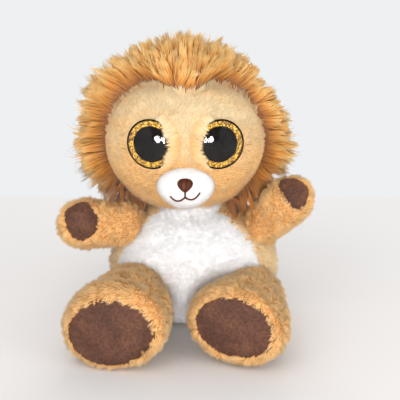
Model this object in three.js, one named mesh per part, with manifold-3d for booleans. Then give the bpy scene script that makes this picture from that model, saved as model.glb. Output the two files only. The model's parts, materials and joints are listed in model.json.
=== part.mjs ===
// A seated stuffed lion: short-pile plush over fibre stuffing, a long-pile mane, big plastic eyes with
// glitter rings, a white belly and muzzle, and brown pads on its paws and feet.
// Millimetres. The toy faces -Y, +Z is up and its left hand is at +X. The origin is the middle of the
// flat seat that it rests on.
import * as THREE from "three";
import { mergeVertices } from "three/addons/utils/BufferGeometryUtils.js";
import Module from "manifold-3d";

const wasm = await Module();
wasm.setup();

// Fabric and fit
const PLUSH_WALL = 3; // backing and pressed pile of the short plush
const MUZZLE_WALL = 1.6; // smooth velour over the muzzle
const SEAM_GAP = 0.3; // between pieces that touch
const STITCH_HEIGHT = 1.1; // how far embroidery stands out of the muzzle
const TURN_GAP = 0.8; // between a round root and the hollow that it turns in
const PRESS_GAP = 1.3; // between a leg and the dent that it makes in the torso
const FAR = 400; // longer than the toy, for cutting tools

// Torso, a squat ball that is wider at the hips
const TORSO_HALF_WIDTH = 76;
const TORSO_HALF_DEPTH = 58;
const TORSO_HALF_HEIGHT = 59;
const TORSO_SINK = 9; // how deep the round underside is pressed flat on the seat
const TORSO_PEAR = 0.07; // how much wider the hips are, and narrower the chest
const BEAN_POUCH_RADIUS = 36;
const BEAN_POUCH_HEIGHT = 22;

// White belly, as seen from the front: its corners from the middle of its top edge down one side
const BELLY_OFFSET_X = -3; // the torso is turned a little to the toy's right
const BELLY_TOP = 104;
const BELLY_TOP_HALF_WIDTH = 26;
const BELLY_HALF_WIDTH = 61;
const BELLY_WIDEST_Z = 58;
const BELLY_FOOT_HALF_WIDTH = 30;
const BELLY_FOOT = 2; // its lower edge over the inside of the seat
const BELLY_ROUND = 4; // how far its edge swells out between those corners

// Head, a wide ball
const HEAD_HALF_WIDTH = 70;
const HEAD_HALF_DEPTH = 58;
const HEAD_HALF_HEIGHT = 58;
const HEAD_OFFSET_X = -7; // the head lolls a little to the toy's right
const HEAD_ABOVE_NECK = 50; // from the neck's pivot up to the middle of the head
const FACE_HALF_WIDTH = 68;
const FACE_HALF_HEIGHT = 56;
const FACE_TOP = 50; // its two peaks over the middle of the head
const FACE_PEAK_DIP = 5; // the mane dips between the peaks
const FEATURES_OFFSET_X = 1.3; // eyes and muzzle off the middle of the head: it looks to its left
const NECK_RADIUS = 27;
const NECK_SINK = 2; // of the pivot under the top of the torso
const NECK_SEAM_DROP = 7; // from the pivot down to the torso's flattened top

// Mane of long pile
const MANE_TOP_LENGTH = 34;
const MANE_SIDE_LENGTH = 26;
const MANE_LOW_LENGTH = 11;
const MANE_BACK_LENGTH = 17;
const MANE_LOCKS = 16;
const MANE_ROWS = 8;
const MANE_START = 1.04; // angle back from the middle of the face to the first row
const MANE_LOCK_DEPTH = 0.34; // share of the pile's length between two locks

// Eyes
const EYE_RADIUS = 20.2;
const EYE_RIM = 0.9;
const EYE_RIM_HEIGHT = 1.5; // of the rim over the plate
const PUPIL_RADIUS = 14.4;
const EYE_DOME = 7.5;
const EYE_LENS_EDGE = 0.4; // thickness of the lens at its rim
const EYE_PLATE = 1.6;
const EYE_LAYER = 0.5; // painted pupil and glitter ring
const EYE_STEM_RADIUS = 3;
const EYE_STEM_LENGTH = 15;
const EYE_WASHER_RADIUS = 10;
const EYE_WASHER_THICKNESS = 1.5;
const EYE_SPACING = 55; // between the two middles
const EYE_UP = 9; // over the middle of the head
const EYE_YAW = THREE.MathUtils.degToRad(17.5);
const EYE_SINK = 1.2; // of the plate's front under the top of the plush
const EYE_SEAT_MARGIN = 2; // how far the plush turned in under an eye reaches past it

// Muzzle, nose and mouth
const MUZZLE_HALF_WIDTH = 23.5;
const MUZZLE_HALF_HEIGHT = 17;
const MUZZLE_DEPTH = 19;
const MUZZLE_DOWN = 26; // under the middle of the head
const MUZZLE_EGG = 0.2; // how much narrower its lower end is
const NOSE_HALF_WIDTH = 6.8;
const NOSE_HEIGHT = 10;
const NOSE_UP = 11; // top of the nose over the middle of the muzzle
const PHILTRUM_LENGTH = 3.8;
const SMILE_HALF_WIDTH = 12;
const SMILE_DROP = 3.4;
const SMILE_LIFT = 2.2;
const SMILE_TILT = THREE.MathUtils.degToRad(6); // its end on the toy's left is the higher one
const STITCH_WIDTH = 1.2;

// Arms
const ARM_ROOT_RADIUS = 20;
const ARM_LENGTH = 59; // pivot to the end of the paw
const PAW_HALF_HEIGHT = 21.5;
const PAW_HALF_DEPTH = 19;
const SHOULDER_FORWARD = THREE.MathUtils.degToRad(14);
const SHOULDER_UP = THREE.MathUtils.degToRad(31);
const SHOULDER_STANDOFF = 5;
const PALM_HALF_LENGTH = 13.5;
const PALM_HALF_HEIGHT = 17.2;
const ARM_HIGHEST = 46; // degrees over level that either arm lifts to
const MANE_CLEARANCE = 11; // between the mane and an arm that is lifted as high as it goes

// Legs
const LEG_ROOT_RADIUS = 28;
const LEG_LENGTH = 66; // pivot to the sole
const FOOT_HALF_WIDTH = 42;
const FOOT_HALF_HEIGHT = 33;
const FOOT_SINK = 0.8; // how deep the heel is pressed flat on the floor
const SOLE_HALF_WIDTH = 33.5;
const SOLE_HALF_HEIGHT = 25.5;
const SOLE_FROM_END = 18; // how far the pad's rim lies from the end of the foot, at most
const LEG_LIFT = 25; // degrees that a leg lifts off the floor
const HIP_FORWARD = THREE.MathUtils.degToRad(47);
const HIP_UP = THREE.MathUtils.degToRad(-13);
const HIP_STANDOFF = 10;

// Tail
const TAIL_RADIUS = 5;
const TAIL_ROOT_RADIUS = 7;
const TAIL_REACH = 46;
const TAIL_HEIGHT = 24;
const TUFT_RADIUS = 11;
const TUFT_LENGTH = 30;

// How each limb is held, in degrees: the arm forward and up from straight out to the side, the leg out
// from straight ahead, and the foot rolled about its length. In millimetres, palmIn is how far the middle
// of the pad on the paw lies from the paw's end, palmUp and soleUp are how far the pads sit over the
// middles of the paw and the foot, and solePlus is how much wider and higher the pad on the foot is.
const LIMBS = {
  left: {
    side: 1,
    armForward: 32,
    armUp: 46,
    palmIn: 13,
    palmUp: 3,
    legOut: -18,
    soleRoll: -8,
    soleUp: 3,
    solePlus: 0,
  },
  right: {
    side: -1,
    armForward: 27,
    armUp: 9,
    palmIn: 16,
    palmUp: 6,
    legOut: 12,
    soleRoll: 16,
    soleUp: 0,
    solePlus: 2,
  },
};

const ROOT_ANGLES = [-70, -50, -30, -12]; // rings round the back of a limb's round root, in degrees

// Colours and finishes
const MATERIALS = {
  plush: { color: 0xe9b878, roughness: 0.95, metalness: 0 },
  face: { color: 0xf0c890, roughness: 0.95, metalness: 0 },
  mane: { color: 0xd98f3c, roughness: 0.9, metalness: 0 },
  white: { color: 0xf6f4f2, roughness: 0.95, metalness: 0 },
  pad: { color: 0x6e4434, roughness: 0.85, metalness: 0 },
  thread: { color: 0x6b3526, roughness: 0.7, metalness: 0 },
  black: { color: 0x0b0a0a, roughness: 0.25, metalness: 0 },
  glitter: { color: 0xc9922a, roughness: 0.35, metalness: 0.6 },
  clear: { color: 0xf4f4f4, roughness: 0.03, metalness: 0, transparent: true, opacity: 0.25 },
  nylon: { color: 0xe6e6e0, roughness: 0.5, metalness: 0 },
  fibre: { color: 0xf2f2ee, roughness: 1, metalness: 0 },
  pouch: { color: 0xd9d4c8, roughness: 0.9, metalness: 0 },
};

const group = new THREE.Group();
const X = new THREE.Vector3(1, 0, 0);
const Y = new THREE.Vector3(0, 1, 0);
const Z = new THREE.Vector3(0, 0, 1);

// A closed three.js geometry as a solid that can be cut.
function solidOf(geometry) {
  const bare = geometry.clone();
  bare.deleteAttribute("normal");
  bare.deleteAttribute("uv");
  const merged = mergeVertices(bare, 1e-4);
  return new wasm.Manifold(
    new wasm.Mesh({
      numProp: 3,
      vertProperties: new Float32Array(merged.attributes.position.array),
      triVerts: new Uint32Array(merged.index.array),
    }),
  );
}

function addPiece(name, solid, material) {
  const made = solid.getMesh();
  const geometry = new THREE.BufferGeometry();
  geometry.setAttribute("position", new THREE.BufferAttribute(made.vertProperties, 3));
  geometry.setIndex(new THREE.BufferAttribute(made.triVerts, 1));
  geometry.computeVertexNormals();
  const mesh = new THREE.Mesh(geometry, new THREE.MeshStandardMaterial(MATERIALS[material]));
  mesh.name = name;
  group.add(mesh);
}

function placed(solid, matrix) {
  return solid.transform(matrix.elements);
}

// A matrix that puts a local frame at a point, with its +Y along the direction given.
function aimed(point, direction, roll = 0) {
  const turn = new THREE.Quaternion().setFromUnitVectors(Y, direction.clone().normalize());
  const spin = new THREE.Quaternion().setFromAxisAngle(Y, roll);
  return new THREE.Matrix4().compose(point, turn.multiply(spin), new THREE.Vector3(1, 1, 1));
}

// A ball whose points, one unit from the middle, are moved by shape(point). Its poles lie along Z.
function ball(shape, around = 28, down = 18) {
  const geometry = new THREE.SphereGeometry(1, around, down).rotateX(Math.PI / 2);
  const position = geometry.attributes.position;
  const point = new THREE.Vector3();
  for (let i = 0; i < position.count; i++) {
    point.fromBufferAttribute(position, i);
    shape(point);
    position.setXYZ(i, point.x, point.y, point.z);
  }
  return solidOf(geometry);
}

function sphere(radius, centre, around = 24, down = 16) {
  return ball((p) => p.multiplyScalar(radius).add(centre), around, down);
}

// A solid turned about local +Y from [radius, height] pairs that start and end on the axis.
function turned(pairs, around = 24) {
  const points = pairs.map(([r, y]) => new THREE.Vector2(r, y));
  return solidOf(new THREE.LatheGeometry(points, around));
}

// A closed solid through rings of points, shut by a point at each end.
function lofted(rings, first, last) {
  const around = rings[0].length;
  const points = [first, ...rings.flat(), last];
  const end = points.length - 1;
  const faces = [];
  for (let i = 0; i < around; i++) {
    const next = (i + 1) % around;
    faces.push(0, 1 + next, 1 + i);
    for (let row = 0; row < rings.length - 1; row++) {
      const a = 1 + row * around;
      const b = a + around;
      faces.push(a + i, a + next, b + i, a + next, b + next, b + i);
    }
    faces.push(end, end - around + i, end - around + next);
  }
  const geometry = new THREE.BufferGeometry().setFromPoints(points).setIndex(faces);
  return solidOf(geometry);
}

// A long prism along a frame's +Z from its origin, over an outline of [x, y] points in that frame.
function prism(outline, frame) {
  const shape = new THREE.Shape(outline.map(([x, y]) => new THREE.Vector2(x, y)));
  const geometry = new THREE.ExtrudeGeometry(shape, { depth: FAR, bevelEnabled: false, steps: 1 });
  return solidOf(geometry.applyMatrix4(frame));
}

// A prism that runs towards -Y from y = back, over an outline of [x, z] points.
function frontPrism(outline, back) {
  return prism(outline, new THREE.Matrix4().makeRotationX(Math.PI / 2).setPosition(0, back, 0));
}

// A smooth closed outline through a few [x, z] points.
function smoothOutline(points, count) {
  const curve = new THREE.CatmullRomCurve3(
    points.map(([x, z]) => new THREE.Vector3(x, z, 0)),
    true,
    "centripetal",
  );
  return curve.getPoints(count).slice(0, -1).map((p) => [p.x, p.y]);
}

// An outline moved out by a margin along its normals, for a seam's gap.
function grown(outline, margin) {
  const anticlockwise = THREE.ShapeUtils.area(outline.map(([x, y]) => new THREE.Vector2(x, y))) > 0;
  const away = anticlockwise ? margin : -margin;
  return outline.map(([x, z], i) => {
    const before = outline[(i + outline.length - 1) % outline.length];
    const after = outline[(i + 1) % outline.length];
    const run = new THREE.Vector2(after[0] - before[0], after[1] - before[1]).normalize();
    return [x + run.y * away, z - run.x * away];
  });
}

function mirrored(points) {
  return [...points, ...points.slice(1, -1).reverse().map(([x, z]) => [-x, z])];
}

// Everything under the floor, for flattening what rests on it.
const floor = solidOf(new THREE.BoxGeometry(FAR, FAR, FAR).translate(0, 0, -FAR / 2));

// Torso
const torsoCentreZ = TORSO_HALF_HEIGHT - TORSO_SINK;

const neckPivot = new THREE.Vector3(
  HEAD_OFFSET_X / 2,
  0,
  torsoCentreZ + TORSO_HALF_HEIGHT - NECK_SINK,
);

function torsoForm(inset, around = 20, down = 12) {
  return ball(
    (p) => {
      const girth = 1 - TORSO_PEAR * p.z;
      p.set(
        p.x * (TORSO_HALF_WIDTH - inset) * girth,
        p.y * (TORSO_HALF_DEPTH - inset) * girth,
        torsoCentreZ + p.z * (TORSO_HALF_HEIGHT - inset),
      );
    },
    around,
    down,
  )
    .subtract(floor.translate(0, 0, inset))
    .subtract(floor.translate(0, 0, neckPivot.z - NECK_SEAM_DROP - inset + FAR));
}

// A point held off the torso, looking out from its middle at an angle to the side and upward.
function offTorso(side, forward, up, standoff) {
  const look = new THREE.Vector3(
    side * Math.cos(up) * Math.cos(forward),
    -Math.cos(up) * Math.sin(forward),
    Math.sin(up),
  );
  const girth = 1 - TORSO_PEAR * look.z;
  const reach =
    1 /
    Math.hypot(
      look.x / (TORSO_HALF_WIDTH * girth),
      look.y / (TORSO_HALF_DEPTH * girth),
      look.z / TORSO_HALF_HEIGHT,
    );
  return look.multiplyScalar(reach + standoff).add(new THREE.Vector3(0, 0, torsoCentreZ));
}

const headCentre = new THREE.Vector3(HEAD_OFFSET_X, 0, neckPivot.z + HEAD_ABOVE_NECK);

function limbPlan(limb) {
  const radians = (key) => THREE.MathUtils.degToRad(limb[key]);
  const shoulder = offTorso(limb.side, SHOULDER_FORWARD, SHOULDER_UP, SHOULDER_STANDOFF);
  const arm = new THREE.Vector3(limb.side, 0, 0)
    .applyAxisAngle(Y, -limb.side * radians("armUp"))
    .applyAxisAngle(Z, -limb.side * radians("armForward"));
  const hip = offTorso(limb.side, HIP_FORWARD, HIP_UP, HIP_STANDOFF);
  const drop = Math.asin((hip.z - (FOOT_HALF_HEIGHT - FOOT_SINK)) / LEG_LENGTH);
  const leg = new THREE.Vector3(0, -1, 0)
    .applyAxisAngle(X, drop)
    .applyAxisAngle(Z, limb.side * radians("legOut"));
  const foot = { roll: radians("soleRoll"), up: limb.soleUp, plus: limb.solePlus };
  const palm = { in: limb.palmIn, up: limb.palmUp };
  return { shoulder, arm, palm, hip, leg, foot };
}

const plans = { left: limbPlan(LIMBS.left), right: limbPlan(LIMBS.right) };
const tailRoot = offTorso(
  0,
  -Math.PI / 2,
  -Math.asin((torsoCentreZ - TAIL_HEIGHT) / TORSO_HALF_HEIGHT),
  0,
);

function neckBall(margin) {
  return sphere(NECK_RADIUS + margin, neckPivot, 16, 9);
}

// The round hollows in the torso that the neck, the arms and the tail turn in.
function rootHollows() {
  const neck = neckBall(TURN_GAP);
  const tail = sphere(TAIL_ROOT_RADIUS + SEAM_GAP, tailRoot, 12, 8);
  const shoulders = Object.values(plans).map((plan) =>
    sphere(ARM_ROOT_RADIUS + TURN_GAP, plan.shoulder, 14, 9),
  );
  return shoulders.reduce((all, hollow) => all.add(hollow), neck.add(tail));
}

// The dents that the legs press into the torso, over the whole of their swing.
function legDents(margin) {
  const [left, right] = Object.values(plans).map((plan) =>
    placed(liftedForm(LEG, PRESS_GAP + margin, LEG_LIFT, plan.foot.roll), legFrame(plan)),
  );
  return left.add(right);
}

function bellyOutline() {
  const side = [
    [0, BELLY_TOP],
    [BELLY_TOP_HALF_WIDTH, BELLY_TOP - BELLY_ROUND],
    [(BELLY_TOP_HALF_WIDTH + BELLY_HALF_WIDTH) / 2, (BELLY_TOP + BELLY_WIDEST_Z) / 2 + BELLY_ROUND],
    [BELLY_HALF_WIDTH, BELLY_WIDEST_Z],
    [(BELLY_HALF_WIDTH + BELLY_FOOT_HALF_WIDTH) / 2 + BELLY_ROUND, BELLY_WIDEST_Z / 2],
    [BELLY_FOOT_HALF_WIDTH, PLUSH_WALL + BELLY_FOOT],
    [0, PLUSH_WALL + BELLY_FOOT],
  ];
  return smoothOutline(mirrored(side), 20).map(([x, z]) => [x + BELLY_OFFSET_X, z]);
}

function makeTorso() {
  const roots = rootHollows();
  const hollow = torsoForm(PLUSH_WALL).subtract(legDents(PLUSH_WALL));
  const shell = torsoForm(0).subtract(legDents(0)).subtract(hollow).subtract(roots);
  const belly = bellyOutline();
  const aroundBelly = frontPrism(grown(belly, SEAM_GAP), 0);
  addPiece("belly_panel", shell.intersect(frontPrism(belly, -SEAM_GAP)), "white");
  addPiece("torso_cover", largest(shell.subtract(aroundBelly)), "plush");

  const pouchFloor = PLUSH_WALL + 3 * SEAM_GAP;
  const pouchOf = (margin) =>
    turned([
      [0, pouchFloor - margin],
      [BEAN_POUCH_RADIUS * 0.72 + margin, pouchFloor - margin],
      [BEAN_POUCH_RADIUS + margin, pouchFloor + BEAN_POUCH_HEIGHT * 0.4],
      [BEAN_POUCH_RADIUS * 0.8 + margin, pouchFloor + BEAN_POUCH_HEIGHT * 0.85],
      [0, pouchFloor + BEAN_POUCH_HEIGHT + margin],
    ]).transform(new THREE.Matrix4().makeRotationX(Math.PI / 2).elements);
  addPiece("seat_bean_pouch", pouchOf(0), "pouch");
  const open = pouchOf(SEAM_GAP).add(pouchOf(SEAM_GAP).translate(0, 0, -2 * SEAM_GAP));
  const deep = PLUSH_WALL + SEAM_GAP;
  const fill = torsoForm(deep).subtract(legDents(deep)).subtract(roots).subtract(open);
  addPiece("torso_fill", fill, "fibre");
}

// The rings of a limb about local +Y, its length, from the pivot at 0: a round root that swells into an
// oval paw or foot. size.profile holds [share of the length, share of the girth] pairs.
function limbRings(size, inset, around) {
  const root = size.root - inset;
  const end = size.length - inset;
  const stations = ROOT_ANGLES.map((degrees) => {
    const a = THREE.MathUtils.degToRad(degrees);
    return [root * Math.sin(a), Math.cos(a)];
  });
  for (const [along, share] of size.profile) stations.push([along * end, share]);
  return stations.map(([y, share]) => {
    const swell = THREE.MathUtils.smoothstep(y, 0, end * size.swellBy);
    const wide = share * (root + swell * (size.halfWidth - inset - root));
    const high = share * (root + swell * (size.halfHeight - inset - root));
    return oval(wide, high, around).map(([x, z]) => new THREE.Vector3(x, y, -z));
  });
}

function limbForm(size, inset, around = 14) {
  const first = new THREE.Vector3(0, -(size.root - inset), 0);
  const last = new THREE.Vector3(0, size.length - inset, 0);
  return lofted(limbRings(size, inset, around), first, last);
}

// All that a limb passes through as it lifts: its lower half at rest, and its upper half lifted by the
// degrees given. roll turns its oval about its length.
function liftedForm(size, margin, degrees, roll, around = 12) {
  const up = new THREE.Vector3(-Math.sin(roll), 0, Math.cos(roll));
  const axis = Y.clone().cross(up);
  const lift = THREE.MathUtils.degToRad(degrees);
  const rings = limbRings(size, -margin, around).map((ring) =>
    ring.map((p) => p.applyAxisAngle(axis, p.dot(up) > -1e-9 ? lift : 0)),
  );
  const first = new THREE.Vector3(0, -(size.root + margin), 0);
  const last = new THREE.Vector3(0, size.length + margin, 0).applyAxisAngle(axis, lift / 2);
  return lofted(rings, first, last);
}

const ARM = {
  root: ARM_ROOT_RADIUS,
  length: ARM_LENGTH,
  halfWidth: PAW_HALF_DEPTH,
  halfHeight: PAW_HALF_HEIGHT,
  swellBy: 0.55,
  profile: [[0.14, 0.93], [0.6, 1], [0.8, 0.86], [0.92, 0.6], [0.98, 0.3]],
};

const LEG = {
  root: LEG_ROOT_RADIUS,
  length: LEG_LENGTH,
  halfWidth: FOOT_HALF_WIDTH,
  halfHeight: FOOT_HALF_HEIGHT,
  swellBy: 0.62,
  profile: [[0.15, 0.99], [0.4, 0.99], [0.7, 1], [0.84, 0.96], [0.92, 0.84]],
};

// An arm's local frame has +Y along it and +Z up; a leg's also has +X to the side of the foot.
function armFrame(plan) {
  const along = plan.arm.clone().normalize();
  const side = along.clone().cross(Z).normalize();
  const up = side.clone().cross(along);
  return new THREE.Matrix4().makeBasis(side, along, up).setPosition(plan.shoulder);
}

function legFrame(plan) {
  const along = plan.leg.clone().normalize();
  const side = along.clone().cross(Z).normalize().applyAxisAngle(along, plan.foot.roll);
  const up = side.clone().cross(along);
  return new THREE.Matrix4().makeBasis(side, along, up).setPosition(plan.hip);
}

function oval(halfWidth, halfHeight, count = 18) {
  return Array.from({ length: count }, (_, i) => {
    const a = (i / count) * 2 * Math.PI;
    return [halfWidth * Math.cos(a), halfHeight * Math.sin(a)];
  });
}

// The palm faces forward, square to the arm.
function palmPrism(plan, margin) {
  const along = plan.arm.clone().multiplyScalar(Math.sign(plan.arm.x)).normalize();
  const front = along.clone().cross(Z).normalize();
  const up = front.clone().cross(along);
  const middle = plan.shoulder.clone().addScaledVector(plan.arm, ARM_LENGTH - plan.palm.in);
  const frame = new THREE.Matrix4().makeBasis(along, up, front);
  frame.setPosition(middle.addScaledVector(up, plan.palm.up).addScaledVector(front, SEAM_GAP - margin));
  return prism(oval(PALM_HALF_LENGTH + margin, PALM_HALF_HEIGHT + margin), frame);
}

function makeArm(name, plan) {
  const frame = armFrame(plan);
  const shell = limbForm(ARM, 0).subtract(limbForm(ARM, PLUSH_WALL));
  const cover = placed(shell, frame);
  addPiece("palm_pad_" + name, largest(cover.intersect(palmPrism(plan, 0))), "pad");
  addPiece("arm_cover_" + name, cover.subtract(palmPrism(plan, SEAM_GAP)), "plush");
  addPiece("arm_fill_" + name, placed(limbForm(ARM, PLUSH_WALL + SEAM_GAP), frame), "fibre");
}

function solePrism(frame, foot, margin) {
  const start = LEG_LENGTH - SOLE_FROM_END - margin;
  const turn = new THREE.Matrix4().makeRotationX(-Math.PI / 2).setPosition(0, start, foot.up);
  const wider = foot.plus + margin;
  const outline = oval(SOLE_HALF_WIDTH + wider, SOLE_HALF_HEIGHT + wider);
  return prism(outline, frame.clone().multiply(turn));
}

function makeLeg(name, plan) {
  const frame = legFrame(plan);
  const formOf = (inset) => placed(limbForm(LEG, inset), frame).subtract(floor.translate(0, 0, inset));
  const shell = formOf(0).subtract(formOf(PLUSH_WALL));
  addPiece("sole_pad_" + name, largest(shell.intersect(solePrism(frame, plan.foot, 0))), "pad");
  addPiece("leg_cover_" + name, shell.subtract(solePrism(frame, plan.foot, SEAM_GAP)), "plush");
  addPiece("leg_fill_" + name, formOf(PLUSH_WALL + SEAM_GAP), "fibre");
}

// Head
function headForm(inset, around = 20, down = 12) {
  return ball(
    (p) =>
      p.set(
        headCentre.x + p.x * (HEAD_HALF_WIDTH - inset),
        headCentre.y + p.y * (HEAD_HALF_DEPTH - inset),
        headCentre.z + p.z * (HEAD_HALF_HEIGHT - inset),
      ),
    around,
    down,
  );
}

function faceOutline() {
  const side = [
    [0, FACE_TOP - FACE_PEAK_DIP],
    [FACE_HALF_WIDTH * 0.34, FACE_TOP],
    [FACE_HALF_WIDTH * 0.74, FACE_HALF_HEIGHT * 0.7],
    [FACE_HALF_WIDTH, 0],
    [FACE_HALF_WIDTH * 0.8, -FACE_HALF_HEIGHT * 0.62],
    [FACE_HALF_WIDTH * 0.4, -FACE_HALF_HEIGHT * 0.94],
    [0, -FACE_HALF_HEIGHT],
  ];
  return smoothOutline(mirrored(side), 26).map(([x, z]) => [x + headCentre.x, z + headCentre.z]);
}

// Length of the mane's pile. turn is the angle from straight up to the side and down, and lean the angle
// back from the face.
function pileLength(turn, lean) {
  const low = THREE.MathUtils.smoothstep(turn, 1.65, 2.4);
  const side = THREE.MathUtils.smoothstep(turn, 0, 1.2);
  const rim = MANE_TOP_LENGTH + (MANE_SIDE_LENGTH - MANE_TOP_LENGTH) * side;
  const edge = rim + (MANE_LOW_LENGTH - rim) * low;
  const back = THREE.MathUtils.smoothstep(lean, 1.75, 2.9);
  const start = THREE.MathUtils.smoothstep(lean, MANE_START, MANE_START + 0.24);
  return start * (edge + (Math.min(edge, MANE_BACK_LENGTH) - edge) * back);
}

// The mane's surface: the head with pointed locks of pile that stand out of it, in rows from the face's
// edge to the back of the head.
function maneForm() {
  const steps = MANE_LOCKS * 2;
  const wave = (t) => Math.abs(2 * (t - Math.floor(t + 0.5)));
  const rings = [];
  for (let row = 0; row <= MANE_ROWS; row++) {
    const lean = MANE_START + (row / (MANE_ROWS + 1)) * (Math.PI - MANE_START);
    const ring = [];
    for (let i = 0; i < steps; i++) {
      const share = i / steps;
      const round = (share < 0.5 ? share : share - 1) * 2 * Math.PI;
      const lock = wave(share * MANE_LOCKS + 0.5 * Math.floor(row / 3));
      const fade = Math.min(1, Math.sin(lean) * 2.2);
      const pile = pileLength(Math.abs(round), lean) * (1 - MANE_LOCK_DEPTH * lock * fade);
      ring.push(offHead(round, lean, pile));
    }
    rings.push(ring);
  }
  return lofted(rings, offHead(0, 0, 0), offHead(0, Math.PI, MANE_BACK_LENGTH));
}

// A point off the head, at an angle round from straight up and an angle back from the face's middle.
function offHead(round, lean, off) {
  const out = new THREE.Vector3(
    Math.sin(round) * Math.sin(lean),
    -Math.cos(lean),
    Math.cos(round) * Math.sin(lean),
  );
  const size = new THREE.Vector3(HEAD_HALF_WIDTH, HEAD_HALF_DEPTH, HEAD_HALF_HEIGHT);
  return size.multiply(out).addScaledVector(out, off).add(headCentre);
}

// An eye's local frame has +Y out of its dome, with 0 at the front of its plate.
function eyeFrame(side) {
  const x = (side * EYE_SPACING) / 2;
  const z = EYE_UP;
  const y = -HEAD_HALF_DEPTH * Math.sqrt(1 - (x / HEAD_HALF_WIDTH) ** 2 - (z / HEAD_HALF_HEIGHT) ** 2);
  const look = new THREE.Vector3(side * Math.sin(EYE_YAW), -Math.cos(EYE_YAW), 0);
  const middle = new THREE.Vector3(x + FEATURES_OFFSET_X, y, z).add(headCentre);
  middle.addScaledVector(look, -EYE_SINK);
  return aimed(middle, look);
}

const eyeFrames = { left: eyeFrame(1), right: eyeFrame(-1) };
const seatTop = -EYE_PLATE - SEAM_GAP; // of the plush under an eye's plate, along the eye's axis
const washerTop = seatTop - PLUSH_WALL - SEAM_GAP;

// A plain disc about an eye's axis.
function disc(radius, low, high, around = 18) {
  return turned([[0, low], [radius, low], [radius, high], [0, high]], around);
}

function eyeTools(frame) {
  const washerBack = washerTop - EYE_WASHER_THICKNESS - SEAM_GAP;
  const stem = disc(EYE_STEM_RADIUS + SEAM_GAP, -EYE_STEM_LENGTH - SEAM_GAP, 0, 12);
  const washer = disc(EYE_WASHER_RADIUS + SEAM_GAP, washerBack, washerTop + SEAM_GAP);
  const seat = disc(EYE_RADIUS + EYE_SEAT_MARGIN, seatTop - PLUSH_WALL, seatTop);
  return {
    pocket: placed(disc(EYE_RADIUS + SEAM_GAP, seatTop, FAR).add(stem).add(washer), frame),
    seat: placed(seat, frame),
    fillCut: placed(
      disc(EYE_RADIUS + EYE_SEAT_MARGIN + SEAM_GAP, washerBack, FAR).add(stem),
      frame,
    ),
  };
}

function makeEye(name, frame) {
  const plate = turned([
    [0, -EYE_STEM_LENGTH],
    [EYE_STEM_RADIUS, -EYE_STEM_LENGTH],
    [EYE_STEM_RADIUS, -EYE_PLATE],
    [EYE_RADIUS - EYE_RIM, -EYE_PLATE],
    [EYE_RADIUS, -EYE_PLATE / 2],
    [EYE_RADIUS, EYE_RIM_HEIGHT],
    [EYE_RADIUS - EYE_RIM, EYE_RIM_HEIGHT],
    [EYE_RADIUS - EYE_RIM, 0],
    [0, 0],
  ]);
  addPiece("eye_back_" + name, placed(plate, frame), "black");
  const layerLow = SEAM_GAP;
  const layerHigh = SEAM_GAP + EYE_LAYER;
  const ringOuter = EYE_RADIUS - EYE_RIM - SEAM_GAP;
  const ring = disc(ringOuter, layerLow, layerHigh).subtract(
    disc(PUPIL_RADIUS + SEAM_GAP, -FAR, FAR, 24),
  );
  addPiece("eye_glitter_ring_" + name, placed(ring, frame), "glitter");
  addPiece("eye_pupil_" + name, placed(disc(PUPIL_RADIUS, layerLow, layerHigh, 24), frame), "black");
  const lensFoot = layerHigh + SEAM_GAP;
  const lens = [[0, lensFoot], [ringOuter, lensFoot]];
  for (const angle of [12, 28, 46, 66]) {
    const a = THREE.MathUtils.degToRad(angle);
    lens.push([ringOuter * Math.cos(a), lensFoot + EYE_LENS_EDGE + EYE_DOME * Math.sin(a)]);
  }
  lens.push([0, lensFoot + EYE_LENS_EDGE + EYE_DOME]);
  addPiece("eye_lens_" + name, placed(turned(lens), frame), "clear");
  const washer = disc(EYE_WASHER_RADIUS, washerTop - EYE_WASHER_THICKNESS, washerTop).subtract(
    disc(EYE_STEM_RADIUS + SEAM_GAP, -FAR, 0, 16),
  );
  addPiece("eye_washer_" + name, placed(washer, frame), "nylon");
}

// Muzzle
const muzzleCentre = new THREE.Vector3(
  headCentre.x + FEATURES_OFFSET_X,
  -HEAD_HALF_DEPTH * Math.sqrt(1 - (MUZZLE_DOWN / HEAD_HALF_HEIGHT) ** 2),
  headCentre.z - MUZZLE_DOWN,
);

function muzzleForm(out, around = 16, down = 9) {
  return ball(
    (p) => {
      const narrow = 1 - MUZZLE_EGG * Math.max(0, -p.z);
      p.set(
        muzzleCentre.x + p.x * (MUZZLE_HALF_WIDTH + out) * narrow,
        muzzleCentre.y + p.y * (MUZZLE_DEPTH + out),
        muzzleCentre.z + p.z * (MUZZLE_HALF_HEIGHT + out),
      );
    },
    around,
    down,
  );
}

function noseOutline() {
  const top = muzzleCentre.z + NOSE_UP;
  const side = [
    [0, top],
    [NOSE_HALF_WIDTH * 0.72, top - NOSE_HEIGHT * 0.05],
    [NOSE_HALF_WIDTH, top - NOSE_HEIGHT * 0.34],
    [NOSE_HALF_WIDTH * 0.5, top - NOSE_HEIGHT * 0.8],
    [0, top - NOSE_HEIGHT],
  ];
  return smoothOutline(mirrored(side), 28).map(([x, z]) => [x + muzzleCentre.x, z]);
}

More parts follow.
